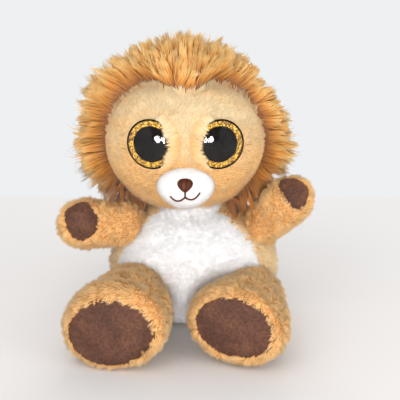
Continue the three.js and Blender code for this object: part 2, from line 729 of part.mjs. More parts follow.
// The philtrum and the smile in one outline, from the nose down and out to each corner.
function mouthOutline() {
  const top = muzzleCentre.z + NOSE_UP - NOSE_HEIGHT - SEAM_GAP;
  const fork = top - PHILTRUM_LENGTH;
  const half = STITCH_WIDTH / 2;
  const steps = 7;
  const upper = [];
  const lower = [];
  for (let i = 0; i <= steps; i++) {
    const t = i / steps;
    const x = half + t * (SMILE_HALF_WIDTH - half);
    const z = fork - SMILE_DROP * Math.sin(Math.PI * Math.min(1, t * 1.25)) + SMILE_LIFT * t ** 4;
    const thin = half * (1 - 0.45 * t);
    upper.push([x, z + thin]);
    lower.push([x, z - thin]);
  }
  const right = [[half, top], ...upper, ...lower.reverse()];
  const left = right.map(([x, z]) => [-x, z]).reverse();
  const rise = Math.tan(SMILE_TILT);
  return [...right, ...left].map(([x, z]) => [x + muzzleCentre.x, z + x * rise]);
}

function makeMuzzle() {
  const clearOfFace = headForm(-SEAM_GAP);
  const hollow = muzzleForm(-MUZZLE_WALL);
  const cover = muzzleForm(0).subtract(hollow).subtract(clearOfFace);
  addPiece("muzzle_cover", largest(cover), "white");
  const fill = muzzleForm(-MUZZLE_WALL - SEAM_GAP).subtract(clearOfFace);
  addPiece("muzzle_fill", largest(fill), "fibre");
  const stitches = muzzleForm(STITCH_HEIGHT + SEAM_GAP)
    .subtract(muzzleForm(SEAM_GAP))
    .subtract(clearOfFace);
  addPiece("nose", stitches.intersect(frontPrism(noseOutline(), muzzleCentre.y)), "thread");
  addPiece("mouth_stitching", stitches.intersect(frontPrism(mouthOutline(), muzzleCentre.y)), "thread");
}

// The largest body of a solid, without slivers that a cut leaves.
function largest(solid) {
  return solid.decompose().sort((a, b) => b.volume() - a.volume())[0];
}

// Room under the mane for both arms, all round the neck, so that the head can turn over lifted arms.
function armRoom() {
  const slope = THREE.MathUtils.degToRad(ARM_HIGHEST);
  const over = PAW_HALF_HEIGHT + MANE_CLEARANCE;
  const shoulder = plans.left.shoulder;
  const start = Math.hypot(shoulder.x - neckPivot.x, shoulder.y) - over * Math.sin(slope);
  const low = shoulder.z + over * Math.cos(slope);
  const run = ARM_LENGTH * 0.62;
  const reach = start + run * Math.cos(slope);
  const high = low + run * Math.sin(slope);
  const cut = turned([[0, 0], [FAR, 0], [FAR, high], [reach, high], [start, low], [0, neckPivot.z]]);
  const upright = new THREE.Matrix4().makeRotationX(Math.PI / 2);
  return cut.transform(upright.elements).translate(neckPivot.x, neckPivot.y, 0);
}

function makeHead() {
  const face = faceOutline();
  const tools = Object.values(eyeFrames).map(eyeTools);
  const outer = headForm(0);
  const inner = headForm(PLUSH_WALL);
  const neckHole = neckBall(TURN_GAP);
  let panel = outer.subtract(inner);
  let fill = headForm(PLUSH_WALL + SEAM_GAP);
  for (const tool of tools) {
    panel = panel.add(tool.seat.intersect(outer)).subtract(tool.pocket);
    fill = fill.subtract(tool.fillCut);
  }
  const facePrism = frontPrism(face, headCentre.y - SEAM_GAP);
  addPiece("face_panel", largest(panel.intersect(facePrism).subtract(neckHole)), "face");
  const hood = maneForm()
    .subtract(armRoom())
    .add(outer)
    .subtract(inner)
    .subtract(frontPrism(grown(face, SEAM_GAP), headCentre.y))
    .subtract(neckHole);
  addPiece("mane_hood", largest(hood), "mane");
  addPiece("head_fill", fill.subtract(neckHole), "fibre");
  addPiece("neck_fill", neckBall(0), "fibre");
}

// Tail: a thin tube that droops to the floor and curls to the toy's left, with a tuft of long pile.
function makeTail() {
  const low = TAIL_RADIUS + SEAM_GAP;
  const at = (x, y, z) => new THREE.Vector3(x * TAIL_REACH, tailRoot.y + y * TAIL_REACH, z);
  const route = new THREE.CatmullRomCurve3([
    tailRoot.clone(),
    at(0.02, 0.26, (tailRoot.z + low) / 2),
    at(0.2, 0.5, low + 1),
    at(0.52, 0.52, low),
    at(0.85, 0.44, low),
  ]);
  const section = new THREE.Shape(
    oval(TAIL_RADIUS, TAIL_RADIUS, 8).map(([x, y]) => new THREE.Vector2(x, y)),
  );
  const tube = solidOf(
    new THREE.ExtrudeGeometry(section, { steps: 9, extrudePath: route, bevelEnabled: false }),
  );
  const root = sphere(TAIL_ROOT_RADIUS, tailRoot, 12, 8);
  addPiece("tail_cover", tube.add(root), "plush");
  const way = route.getTangent(1).setZ(0);
  const end = route.getPoint(1).addScaledVector(way, SEAM_GAP);
  end.z = TUFT_RADIUS * 0.9;
  const tuft = turned(
    [
      [0, 0],
      [TUFT_RADIUS * 0.62, 0],
      [TUFT_RADIUS, TUFT_LENGTH * 0.3],
      [TUFT_RADIUS * 0.72, TUFT_LENGTH * 0.68],
      [0, TUFT_LENGTH],
    ],
    14,
  );
  addPiece("tail_tuft", placed(tuft, aimed(end, way)).subtract(floor), "mane");
}

makeTorso();
makeHead();
makeMuzzle();
for (const [name, frame] of Object.entries(eyeFrames)) makeEye(name, frame);
for (const [name, plan] of Object.entries(plans)) {
  makeArm(name, plan);
  makeLeg(name, plan);
}
makeTail();

export default group;
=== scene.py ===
"""Dresses a seated plush lion: its pile, pads, embroidery and eyes, on a pale studio floor.

Metres, in the frame of its solids: the toy faces -Y, +Z is up and its left hand is at +X.
"""

import json
import math
from dataclasses import dataclass
from functools import partial

import bmesh
import bpy
import numpy as np
from bpy.props import FloatProperty, FloatVectorProperty, PointerProperty
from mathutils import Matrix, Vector
from mathutils.bvhtree import BVHTree
from mathutils.kdtree import KDTree


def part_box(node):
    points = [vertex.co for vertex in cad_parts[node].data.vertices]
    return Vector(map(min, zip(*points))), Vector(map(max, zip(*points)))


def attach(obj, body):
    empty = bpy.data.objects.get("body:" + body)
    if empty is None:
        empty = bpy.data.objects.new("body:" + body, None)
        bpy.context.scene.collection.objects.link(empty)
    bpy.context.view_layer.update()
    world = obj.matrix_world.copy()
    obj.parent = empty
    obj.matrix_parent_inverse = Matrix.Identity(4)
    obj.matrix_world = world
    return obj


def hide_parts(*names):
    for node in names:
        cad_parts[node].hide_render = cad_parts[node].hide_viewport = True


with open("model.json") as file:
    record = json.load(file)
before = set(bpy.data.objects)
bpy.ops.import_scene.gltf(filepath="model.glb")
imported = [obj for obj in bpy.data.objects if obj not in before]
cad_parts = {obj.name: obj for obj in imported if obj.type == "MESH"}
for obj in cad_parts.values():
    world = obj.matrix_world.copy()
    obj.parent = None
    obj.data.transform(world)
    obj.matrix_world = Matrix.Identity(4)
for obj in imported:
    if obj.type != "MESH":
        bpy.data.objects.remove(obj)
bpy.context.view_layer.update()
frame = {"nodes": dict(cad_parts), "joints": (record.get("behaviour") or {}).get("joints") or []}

bl_info = {
    "name": "Plush lion",
    "version": (1, 0, 0),
    "blender": (4, 5, 0),
    "location": "View3D > Sidebar > Plush lion",
    "description": "Makes the pile, pads, embroidery and eyes of a seated plush lion",
    "category": "Object",
}

MM = 0.001
FAR = 0.5  # longer than the toy, for rays that look for its surface
SKIN_LOWEST = 0.4 * MM  # how near the floor a skin comes
PILE_LOWEST = 0.2 * MM  # how near the floor a fibre comes
LOCK_SEGMENTS = 4  # straight pieces in each fibre of the mane
UNDERCOAT = 0.62  # how much of the mane's thickness its undercoat fills
BARE_ROUND_JOINT = 12 * MM  # how near a limb's joint its pile stops
THREAD_LIFT = 0.4 * MM  # how far the middle of the mouth's thread lies over the muzzle
SIDES = ("left", "right")
UP = np.array([0.0, 0.0, 1.0])
BACK = np.array([0.0, 1.0, 0.0])
# How far the mane's locks pass its solid round the face, in mm, at angles from the crown in degrees
OUTLINE = {
    -120: 4, -110: 3, -100: 0, -90: -3.6, -80: -0.4, -70: 5, -60: 10.8, -50: 6.3, -40: 5.9,
    -30: 2.5, -20: 3.2, -10: 4.2, 0: 2.9, 10: 2.5, 20: 0.5, 40: 0, 50: -6.2, 60: -6, 70: -4.7,
    80: -5, 90: -4.4, 100: -1, 110: 0,
}
MIX_A, MIX_B, MIX_OUT = 6, 7, 2  # a Mix node's colour sockets


def linear(code):
    """The linear colour of an sRGB hex value."""
    parts = [int(code[i : i + 2], 16) / 255 for i in (1, 3, 5)]
    return [c / 12.92 if c <= 0.04045 else ((c + 0.055) / 1.055) ** 2.4 for c in parts]


def length(name, millimetres, description):
    """A length that a user can change."""
    return FloatProperty(
        name=name,
        description=description,
        default=millimetres * MM,
        min=0.0,
        soft_max=0.1,
        precision=4,
        unit="LENGTH",
    )


def colour(name, code, description):
    """A colour that a user can change."""
    return FloatVectorProperty(
        name=name,
        description=description,
        default=linear(code),
        min=0.0,
        max=1.0,
        size=3,
        subtype="COLOR",
    )


class LionSizes(bpy.types.PropertyGroup):
    """Lengths of the pile and of the camera's place."""

    inset: length("Inset", 1.6, "How far the backing lies under the solids' surface")
    body_pile: length("Body pile", 5.4, "Length of the pile on the body, arms and legs")
    belly_pile: length("Belly pile", 4.4, "Length of the white pile on the belly")
    face_pile: length("Face pile", 3.6, "Length of the pile on the cheeks")
    brow_pile: length("Brow pile", 7.5, "Length of the pile along the hairline")
    muzzle_nap: length("Muzzle nap", 1.1, "Length of the nap on the muzzle")
    mane_least: length("Shortest mane", 16.0, "Length of the mane's shortest locks")
    mane_beside: length("Mane by the cheeks", 23.0, "Length of the shortest locks by the cheeks")
    mane_chin: length("Mane by the chin", 34.0, "Length of the tufts beside the chin")
    mane_most: length("Longest mane", 42.0, "Length of the mane's longest locks")
    tuft_pile: length("Tail tuft pile", 12.0, "Length of the pile on the tail's tuft")
    camera_back: length("Camera back", 600.0, "Camera's distance in front of the toy's middle")
    camera_height: length("Camera height", 285.9, "Camera's height over the floor")
    camera_side: length("Camera side", 5.9, "Camera's place to the side, and its target's")
    target_height: length("Target height", 104.4, "Height of the point that the camera looks at")
    wall_back: length("Wall back", 358.0, "Where the floor turns into the paler backdrop")


class LionColours(bpy.types.PropertyGroup):
    """Colours of the fabrics, the thread, the eyes and the studio."""

    # The roots' colours, darker than the middles, are painted shade in the depth of the pile. The
    # tips' paler colours are partly the fibres' own and partly painted sheen.
    body_root: colour("Body roots", "#d69653", "Backing and roots of the tan pile")
    body_pile: colour("Body pile", "#f5b96e", "Middle of the tan pile")
    body_tip: colour("Body tips", "#fdd59c", "Tips of the tan pile")
    brow_root: colour("Brow roots", "#e6c18d", "Roots of the cream pile on the brow")
    brow_pile: colour("Brow pile", "#edcf9c", "Middle of the cream pile")
    brow_tip: colour("Brow tips", "#f3e2c0", "Tips of the cream pile")
    mane_root: colour("Mane roots", "#8d5420", "Roots of the mane")
    mane_pile: colour("Mane pile", "#ca842f", "Middle of the mane's pile")
    chin_pile: colour("Chin pile", "#cf7d33", "Middle of the pile that hangs beside the chin")
    mane_tip: colour("Mane tips", "#eabf77", "Tips of the mane's pile")
    white_root: colour("White roots", "#efecea", "Backing and roots of the white pile")
    white_pile: colour("White pile", "#f4f2f1", "White pile")
    velour: colour("Velour", "#482a1c", "Short-nap velour of the pads")
    velour_worn: colour("Worn velour", "#603c2b", "Velour where its nap lies flat")
    thread: colour("Thread", "#461c03", "Embroidery thread")
    gold: colour("Gold glitter", "#a26e15", "Darker flakes of the glitter ring")
    bright_gold: colour("Bright glitter", "#efc855", "Brighter flakes of the glitter ring")
    black: colour("Black", "#0a0605", "Moulded black of the eyes")
    floor: colour("Floor", "#d0cdcb", "Studio floor")
    wall: colour("Wall", "#eef0f2", "Studio wall")


def sizes():
    return bpy.context.scene.lion_sizes


def colours():
    return bpy.context.scene.lion_colours


# Surfaces


@dataclass
class Surface:
    """Triangles with outward normals. pile holds each point's place along its fibre, its fibre's
    own random number and its tone. cell is its place on the unit square for baking. solid numbers
    the node under each point of a wrapped skin."""

    points: np.ndarray
    faces: np.ndarray
    normals: np.ndarray
    pile: np.ndarray
    cell: np.ndarray
    solid: np.ndarray = None
    fibres: bool = False


def unit(vectors):
    return vectors / np.maximum(np.linalg.norm(vectors, axis=-1, keepdims=True), 1e-12)


def smoothstep(values, low, high):
    t = np.clip((values - low) / (high - low), 0, 1)
    return t * t * (3 - 2 * t)


def middle(*nodes):
    """The middle of the box round some nodes."""
    boxes = [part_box(n) for n in nodes]
    low = np.min([np.array(b[0]) for b in boxes], axis=0)
    high = np.max([np.array(b[1]) for b in boxes], axis=0)
    return (low + high) / 2


def corners(node):
    return np.array([v.co for v in frame["nodes"][node].data.vertices])


def joint_place(name):
    found = next(j for j in frame["joints"] if j["name"] == name)
    return np.array(found["pos_m"])


def globe(fineness):
    """Points and triangles of an even unit sphere."""
    ball = bmesh.new()
    bmesh.ops.create_icosphere(ball, subdivisions=fineness, radius=1)
    points = np.array([v.co for v in ball.verts])
    faces = np.array([[v.index for v in f.verts] for f in ball.faces])
    ball.free()
    return unit(points), faces


def around(values, faces):
    """The mean of each point's neighbours, without those that are unknown."""
    a = faces.ravel()
    b = faces[:, (1, 2, 0)].ravel()
    known = np.isfinite(values[b])
    total = np.bincount(a[known], values[b][known], len(values))
    count = np.bincount(a[known], minlength=len(values))
    return np.where(count > 0, total / np.maximum(count, 1), np.nan)


def outward(points, faces):
    """Point normals, weighted by the triangles' areas."""
    p = points[faces]
    each = np.cross(p[:, 1] - p[:, 0], p[:, 2] - p[:, 0])
    total = np.zeros_like(points)
    for k in range(3):
        np.add.at(total, faces[:, k], each)
    return unit(total)


def cast(nodes, starts, ways):
    """Where rays first meet some nodes: distance and node number, or NaN and -1."""
    points, faces, owner = [], [], []
    for number, name in enumerate(nodes):
        mesh = frame["nodes"][name].data
        first = len(points)
        points += [v.co.copy() for v in mesh.vertices]
        faces += [[first + i for i in p.vertices] for p in mesh.polygons]
        owner += [number] * len(mesh.polygons)
    tree = BVHTree.FromPolygons(points, faces)
    found = [tree.ray_cast(Vector(s), Vector(w), FAR) for s, w in zip(starts, ways)]
    far = np.array([np.nan if hit[2] is None else hit[3] for hit in found])
    return far, np.array([-1 if hit[2] is None else owner[hit[2]] for hit in found])


def wrap(nodes, centre, fineness, rounds, bridged, raised=None, inset=None):
    """A smooth closed skin over some nodes, as seen from a point inside them. It runs straight on
    where a bridged node or nothing is met, and a raised node's surface counts as that much further
    out. fineness sets how many points it has, and rounds how often it is smoothed."""
    rays, faces = globe(fineness)
    far, solid = cast([*nodes, *bridged], centre + rays * FAR, -rays)
    reach = FAR - far
    for name, lift in (raised or {}).items():
        reach[solid == nodes.index(name)] += lift
    unknown = (solid < 0) | (solid >= len(nodes)) | (reach < 2 * MM)
    reach[unknown] = np.nan
    solid = np.where(unknown, -1, solid)
    while np.isnan(reach).any():
        reach = np.where(np.isnan(reach), around(reach, faces), reach)
    for _ in range(4 * rounds):
        reach = np.where(unknown, around(reach, faces), reach)
    for _ in range(rounds):
        reach = around(reach, faces)
    while (solid < 0).any():
        votes = [around(np.where(solid < 0, np.nan, solid == k), faces) for k in range(len(nodes))]
        most = np.where(np.isnan(votes[0]), -1, np.argmax(votes, 0))
        solid = np.where(solid < 0, most, solid)
    reach = reach - (sizes().inset if inset is None else inset)
    points = centre + rays * reach[:, None]
    points[:, 2] = np.maximum(points[:, 2], SKIN_LOWEST)
    pile = np.zeros((len(points), 3))
    turn = np.arctan2(rays[:, 0], -rays[:, 1]) / (2 * math.pi) + 0.5
    cell = np.stack([turn, np.arcsin(np.clip(rays[:, 2], -1, 1)) / math.pi + 0.5], 1)
    return Surface(points, faces, outward(points, faces), pile, cell, solid.astype(int))


def widened(skin, chosen):
    """The chosen points and their neighbours."""
    return chosen | np.isfinite(around(np.where(chosen, 1.0, np.nan), skin.faces))


def subset(surface, faces, lift=0.0):
    """Some of a surface's triangles with the points that they use, raised a little."""
    used, index = np.unique(faces, return_inverse=True)
    rows = (surface.points, surface.normals, surface.pile, surface.cell)
    points, normals, pile, cell = (row[used] for row in rows)
    points = points + normals * lift
    return Surface(points, index.reshape(-1, 3), normals, pile, cell, fibres=surface.fibres)


def part_of(skin, chosen, lift=0.0):
    """The triangles of a skin with any corner among the chosen points, raised a little."""
    return subset(skin, skin.faces[chosen[skin.faces].any(1)], lift)


def reshape(skin, points):
    """Gives a skin new points, none of them under the floor."""
    points[:, 2] = np.maximum(points[:, 2], SKIN_LOWEST)
    skin.points, skin.normals = points, outward(points, skin.faces)


def resting(skin):
    """Where a skin lies on the floor."""
    return (skin.points[:, 2] < 2 * MM) & (skin.normals[:, 2] < -0.8)


# Pile


def drift(points, size, rng, waves=6):
    """Smooth random vectors that change over about the given distance."""
    total = np.zeros((len(points), 3))
    for _ in range(waves):
        way = unit(rng.normal(size=3)) * 2 * math.pi / (size * rng.uniform(0.7, 1.6))
        total += np.sin((points @ way)[:, None] + rng.uniform(0, 2 * math.pi, 3))
    return total / math.sqrt(waves)


def scatter(skin, chosen, spacing, rng):
    """Random roots on the triangles whose corners are all chosen, about one to each square of the
    spacing, with their normals."""
    faces = skin.faces[chosen[skin.faces].all(1)]
    p = skin.points[faces]
    area = np.linalg.norm(np.cross(p[:, 1] - p[:, 0], p[:, 2] - p[:, 0]), axis=1) / 2
    pick = rng.choice(len(faces), int(area.sum() / spacing**2), p=area / area.sum())
    uv = rng.random((len(pick), 2))
    uv = np.where(uv.sum(1, keepdims=True) > 1, 1 - uv, uv)
    weights = np.stack([1 - uv.sum(1), uv[:, 0], uv[:, 1]], 1)[:, :, None]
    roots = (p[pick] * weights).sum(1)
    return roots, unit((skin.normals[faces[pick]] * weights).sum(1))


def lean(normals, towards, amount, rng, astray):
    """Fibre directions that lean from the normals towards a direction, each a little astray."""
    flat = towards - normals * (normals * towards).sum(1, keepdims=True)
    return unit(normals * (1 - amount) + unit(flat) * amount + rng.normal(0, astray, normals.shape))


def nearest_of(places, leaders):
    """The number of the leader nearest each place."""
    tree = KDTree(len(leaders))
    for i, place in enumerate(places[leaders]):
        tree.insert(place, i)
    tree.balance()
    return leaders[[tree.find(place)[1] for place in places]]


def grow(roots, normals, ways, reach, rng, width, lock=4 * MM, gather=0.3, uneven=0.0, bow=0.0,
         wave=0.0, droop=0.0, segments=1, tone=0.0, soft=0.7):
    """Tapered three-sided fibres. Those of a lock share its length and its side wave and gather
    towards its leader's tip; each bows away from the skin and droops. uneven is how much the locks'
    lengths differ, soft the share of the skin's normal in the shading of a fibre, and tone the
    share of the pile's other colours, or a function that gives it for the roots."""
    count = len(roots)
    tone = tone(roots) if callable(tone) else tone
    wanted = min(count, max(8, int(patch_area(roots) / lock**2)))
    leaders = rng.choice(count, wanted, replace=False)
    leader = nearest_of(roots, leaders)
    own = rng.random(count)
    apart = np.linalg.norm(roots - roots[leader], axis=1) / lock
    reach = reach * (1 + uneven * (own[leader] - 0.5)) * (1 - 0.4 * gather * np.minimum(1, apart))
    tips = roots + ways * reach[:, None]
    tips = tips + (tips[leader] - tips) * (gather * rng.uniform(0.6, 1.2, count))[:, None]
    sway = unit(rng.normal(size=(count, 3)))[leader] * (wave * reach)[:, None]
    shade = rng.random(count) * 0.45 + own[leader] * 0.55
    out = unit(tips - roots)
    side = unit(np.cross(out, unit(rng.normal(size=(count, 3)))))
    other = np.cross(out, side)
    rings = []
    for k in range(segments + 1):
        s = k / segments
        line = roots + (tips - roots) * s + sway * math.sin(2.4 * math.pi * s) * s
        line = line + normals * (bow * 4 * s * (1 - s) * reach)[:, None]
        line[:, 2] -= droop * reach * s * s
        if k == segments:
            rings.append((line[:, None], out[:, None], s))
            break
        radius = width / 2 * (1 - s) ** 0.6
        thirds = (0, 2 * math.pi / 3, 4 * math.pi / 3)
        edge = np.stack([side * math.cos(a) + other * math.sin(a) for a in thirds], 1)
        rings.append((line[:, None] + edge * radius, edge, s))
    points = np.concatenate([r[0] for r in rings], 1)
    points[..., 2] = np.maximum(points[..., 2], PILE_LOWEST)
    edges = np.concatenate([r[1] for r in rings], 1)
    along = np.concatenate([np.full(r[0].shape[1], r[2]) for r in rings])
    each = points.shape[1]
    pile = np.stack(np.broadcast_arrays(along, shade[:, None], np.reshape(tone, (-1, 1))), 2)
    faces = []
    for k in range(segments - 1):
        for j in range(3):
            a, b = 3 * k + j, 3 * k + (j + 1) % 3
            faces += [[a, b, b + 3], [a, b + 3, a + 3]]
    last = 3 * (segments - 1)
    faces += [[last + j, last + (j + 1) % 3, each - 1] for j in range(3)]
    faces = (np.array(faces)[None] + each * np.arange(count)[:, None, None]).reshape(-1, 3)
    shading = unit(normals[:, None] * soft + edges * (1 - soft))
    points, shading, pile = (row.reshape(-1, 3) for row in (points, shading, pile))
    return Surface(points, faces, shading, pile, cells(count, along, each), fibres=True)


def coat(roots, normals, rng, towards, amount, pile, width, astray=0.18, spread=(0.7, 1.15),
         **form):
    """Fibres that lean towards a direction by an amount. spread has the least and most of their
    lengths as shares of the pile's."""
    ways = lean(normals, towards, amount, rng, astray)
    reach = pile * rng.uniform(*spread, len(roots))
    return grow(roots, normals, ways, reach, rng, width, **form)


def patch_area(roots):
    """About how much ground some roots cover, counted in cubes of 4 mm."""
    cube = 4 * MM
    filled = np.unique(np.floor(roots / cube).astype(int), axis=0)
    return len(filled) * cube**2 * 0.8


def cells(count, along, each):
    """A cell of the unit square to each fibre, its root at the bottom and its tip at the top."""
    columns = max(1, math.ceil(math.sqrt(count * 2)))
    rows = math.ceil(count / columns)
    number = np.arange(count)
    across = 0.2 + 0.3 * (np.arange(each) % 3)
    u = (number[:, None] % columns + across) / columns
    v = (number[:, None] // columns + 0.12 + 0.76 * along) / rows
    return np.stack([u, v], 2).reshape(-1, 2)


# Pieces


def ride_piece(name, mesh, body, node):
    """One object with a mesh. It rides on a body and stands for a node."""
    piece = bpy.data.objects.new(name, mesh)
    bpy.context.scene.collection.objects.link(piece)
    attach(piece, body)
    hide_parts(node)
    return piece


def soft_piece(name, surfaces, material, body, node):
    """One piece from some surfaces."""
    mesh = bpy.data.meshes.new(name)
    starts = np.cumsum([0] + [len(s.points) for s in surfaces])
    points = np.concatenate([s.points for s in surfaces])
    faces = np.concatenate([s.faces + first for s, first in zip(surfaces, starts)])
    mesh.vertices.add(len(points))
    mesh.vertices.foreach_set("co", points.ravel().astype(np.float32))
    mesh.loops.add(faces.size)
    mesh.loops.foreach_set("vertex_index", faces.ravel().astype(np.int32))
    mesh.polygons.add(len(faces))
    mesh.polygons.foreach_set("loop_start", np.arange(0, faces.size, 3, dtype=np.int32))
    mesh.polygons.foreach_set("loop_total", np.full(len(faces), 3, np.int32))
    mesh.materials.append(material)
    mesh.update(calc_edges=True)
    mesh.polygons.foreach_set("use_smooth", np.ones(len(faces), bool))
    pile = np.concatenate([s.pile for s in surfaces]).astype(np.float32)
    mesh.attributes.new("pile", "FLOAT_VECTOR", "POINT").data.foreach_set("vector", pile.ravel())
    if any(s.fibres for s in surfaces):
        places = bands(surfaces)[faces.ravel()].ravel().astype(np.float32)
        mesh.uv_layers.new(name="OFBake").data.foreach_set("uv", places)
    normals = np.concatenate([s.normals for s in surfaces])
    mesh.normals_split_custom_set_from_vertices(normals.tolist())
    ride_piece(name, mesh, body, node)


def bands(surfaces):
    """The surfaces' cells, each in a band of the unit square: skins low ones, fibres the rest by
    number."""
    weights = np.array([len(s.faces) if s.fibres else 0 for s in surfaces], float)
    skins = sum(not s.fibres for s in surfaces)
    heights = np.where(weights > 0, weights / weights.sum() * (1 - 0.12 * skins), 0.12)
    starts = np.cumsum([0, *heights[:-1]])
    rows = zip(surfaces, starts, heights)
    return np.concatenate([s.cell * (1, 0.98 * height) + (0, start) for s, start, height in rows])


def plain_mesh(name, points, faces, material):
    """A smooth-shaded mesh of one material."""
    mesh = bpy.data.meshes.new(name)
    mesh.from_pydata([tuple(p) for p in points], [], faces)
    mesh.polygons.foreach_set("use_smooth", np.ones(len(mesh.polygons), bool))
    mesh.materials.append(material)
    return mesh


def hoops(rows, count, first=0):
    """The quads between rows of points that each run once round."""
    faces = []
    for start in range(first, first + (rows - 1) * count, count):
        for i in range(count):
            a, b = start + i, start + (i + 1) % count
            faces.append([a, b, b + count, a + count])
    return faces


def turned(profile, centre, axis, count):
    """The points and faces of a shape turned about an axis from (radius, height) pairs."""
    axis = Vector(axis).normalized()
    side = axis.orthogonal().normalized()
    other = axis.cross(side)
    turns = [2 * math.pi * i / count for i in range(count)]
    spokes = [side * math.cos(a) + other * math.sin(a) for a in turns]
    points = [Vector(centre) + axis * high + spoke * r for r, high in profile for spoke in spokes]
    return points, hoops(len(profile), count)


# Materials


class Nodes:
    """The node tree of a material or a world, emptied, and short ways to fill it. They give the new
    node's output, and their lengths are in mm."""

    def __init__(self, owner):
        self.owner = owner
        owner.use_nodes = True
        self.tree = owner.node_tree
        self.tree.nodes.clear()
        coordinates = self.add("TexCoord").outputs
        self.place, self.way = coordinates["Object"], coordinates["Generated"]

    def add(self, kind, inputs=None, **settings):
        """Adds a node. inputs gives its sockets, by name or number, a value or another's output."""
        node = self.tree.nodes.new("ShaderNode" + kind)
        for key, value in settings.items():
            setattr(node, key, value)
        for key, value in (inputs or {}).items():
            if isinstance(value, bpy.types.NodeSocket):
                self.tree.links.new(value, node.inputs[key])
            else:
                node.inputs[key].default_value = value
        return node

    def noise(self, size, detail):
        """A random value that changes smoothly over about a size."""
        inputs = {"Vector": self.place, "Scale": 1 / (size * MM), "Detail": detail}
        return self.add("TexNoise", inputs).outputs[0]

    def ramp(self, value, *stops):
        """The colour at a value, between (place, colour) pairs."""
        node = self.add("ValToRGB", {0: value})
        ramp = node.color_ramp.elements
        for i, (place, shade) in enumerate(stops):
            stop = ramp[i] if i < len(ramp) else ramp.new(place)
            stop.position = place
            stop.color = (*shade, 1)
        return node.outputs[0]

    def span(self, value, low, high, start=0.0, end=1.0):
        """A value from low to high, as the given one goes from start to end."""
        return self.add("MapRange", {0: value, 1: start, 2: end, 3: low, 4: high}).outputs[0]

    def math(self, operation, *values):
        return self.add("Math", dict(enumerate(values)), operation=operation).outputs[0]

    def tinted(self, shade, value):
        """A colour, brighter or darker by a factor."""
        return self.add("HueSaturation", {"Value": value, "Color": shade}).outputs[0]

    def bump(self, height, strength, distance):
        inputs = {"Height": height, "Strength": strength, "Distance": distance * MM}
        return self.add("Bump", inputs).outputs[0]

    def principled(self, inputs):
        return self.add("BsdfPrincipled", inputs).outputs[0]

    def finish(self, surface):
        world = isinstance(self.owner, bpy.types.World)
        self.add("OutputWorld" if world else "OutputMaterial", {"Surface": surface})
        return self.owner


def look(name):
    """The nodes of the material with this name."""
    return Nodes(bpy.data.materials.get(name) or bpy.data.materials.new(name))


def plush(name, dark, light, roughness, sheen, uneven, clear):
    """Polyester pile of fine crimped fibres, matt and soft. It is darker in its depth: painted
    shade between the fibres. It is paler at its tips: partly the fibres' own paler tips and partly
    painted sheen, which shows where the pile is seen edge-on. Each lock has a little shade of its
    own. dark has the colours at the roots, middle and tips, and light those for tone 1, if there
    are any. uneven scales how much the shades differ, and clear is how far light passes through the
    fibres."""
    n = look(name)
    pile = n.add("Attribute", attribute_name="pile").outputs["Vector"]
    along, own, tone = n.add("SeparateXYZ", {0: pile}).outputs
    stops = (0.0, 0.45, 1.0)
    # darker roots are painted shade in the pile's depth; paler tips are partly the fibres' own and
    # partly painted sheen
    shade = n.ramp(along, *zip(stops, dark))
    if light:
        mix = {0: tone, MIX_A: shade, MIX_B: n.ramp(along, *zip(stops, light))}
        shade = n.add("Mix", mix, data_type="RGBA").outputs[MIX_OUT]
    blotch = n.noise(14, 3)
    own = n.span(own, 1 - 0.1 * uneven, 1 + 0.06 * uneven)
    wide = n.span(blotch, 1 - 0.06 * uneven, 1 + 0.04 * uneven, 0.3, 0.7)
    return n.finish(n.principled({
        "Base Color": n.tinted(shade, n.math("MULTIPLY", own, wide)),
        "Roughness": n.span(blotch, roughness - 0.05, roughness + 0.05),
        "Specular IOR Level": 0.25,
        "Sheen Weight": sheen,
        "Sheen Roughness": 0.4,
        "Subsurface Weight": clear,
        "Subsurface Radius": (1, 0.9, 0.8),
        "Subsurface Scale": 1.5 * MM,
    }))


def tan_plush():
    c = colours()
    dark, light = (c.body_root, c.body_pile, c.body_tip), (c.brow_root, c.brow_pile, c.brow_tip)
    form = {"roughness": 0.85, "sheen": 0.05, "uneven": 1.7, "clear": 0.15}
    return plush("polyester_plush_tan", dark, light, **form)


def white_plush():
    c = colours()
    dark = (c.white_root, c.white_pile, c.white_pile)
    form = {"roughness": 0.9, "sheen": 0.1, "uneven": 0.5, "clear": 0.3}
    return plush("polyester_plush_white", dark, None, **form)


def mane_pile():
    c = colours()
    dark, light = (c.mane_root, c.mane_pile, c.mane_tip), (c.mane_root, c.chin_pile, c.mane_pile)
    form = {"roughness": 0.65, "sheen": 0.08, "uneven": 2.2, "clear": 0.2}
    return plush("long_pile_faux_fur", dark, light, **form)


def pad_velour():
    """Short-nap velour, brushed: brown, paler where the nap lies over, with a fine grain."""
    n, c = look("short_nap_velour"), colours()
    patch, grain = n.noise(16, 5), n.noise(2.2, 3)
    shade = n.ramp(patch, (0.38, c.velour), (0.72, c.velour_worn))
    return n.finish(n.principled({
        "Base Color": n.tinted(shade, n.span(grain, 0.68, 1.24, 0.35, 0.65)),
        "Roughness": n.span(patch, 0.75, 0.95),
        "Normal": n.bump(grain, 0.5, 0.4),
        "Specular IOR Level": 0.2,
        "Sheen Weight": 0.12,
        "Sheen Roughness": 0.35,
    }))


def embroidery():
    """Rayon thread in satin stitch, with a soft gloss. Its colour is brighter and darker in bands
    4.4 mm apart: painted sheen where bundles of strands lie differently, with a bump and roughness
    that follow the bands. The bands are far coarser than real strands, so that they show."""
    n = look("satin_stitch_rayon")
    scale = math.pi / 10 / (4.4 * MM)  # at scale 1, a Wave node's bands are a tenth of pi apart
    strands = {"Vector": n.place, "Scale": scale, "Distortion": 0.6, "Detail": 1}
    wave = n.add("TexWave", strands, bands_direction="X").outputs["Fac"]
    return n.finish(n.principled({
        # the bands' painted sheen
        "Base Color": n.tinted((*colours().thread, 1), n.span(wave, 0.75, 1.2)),
        "Roughness": n.span(wave, 0.7, 0.5),
        "Normal": n.bump(wave, 0.6, 0.2),
        "Specular IOR Level": 0.12,
    }))


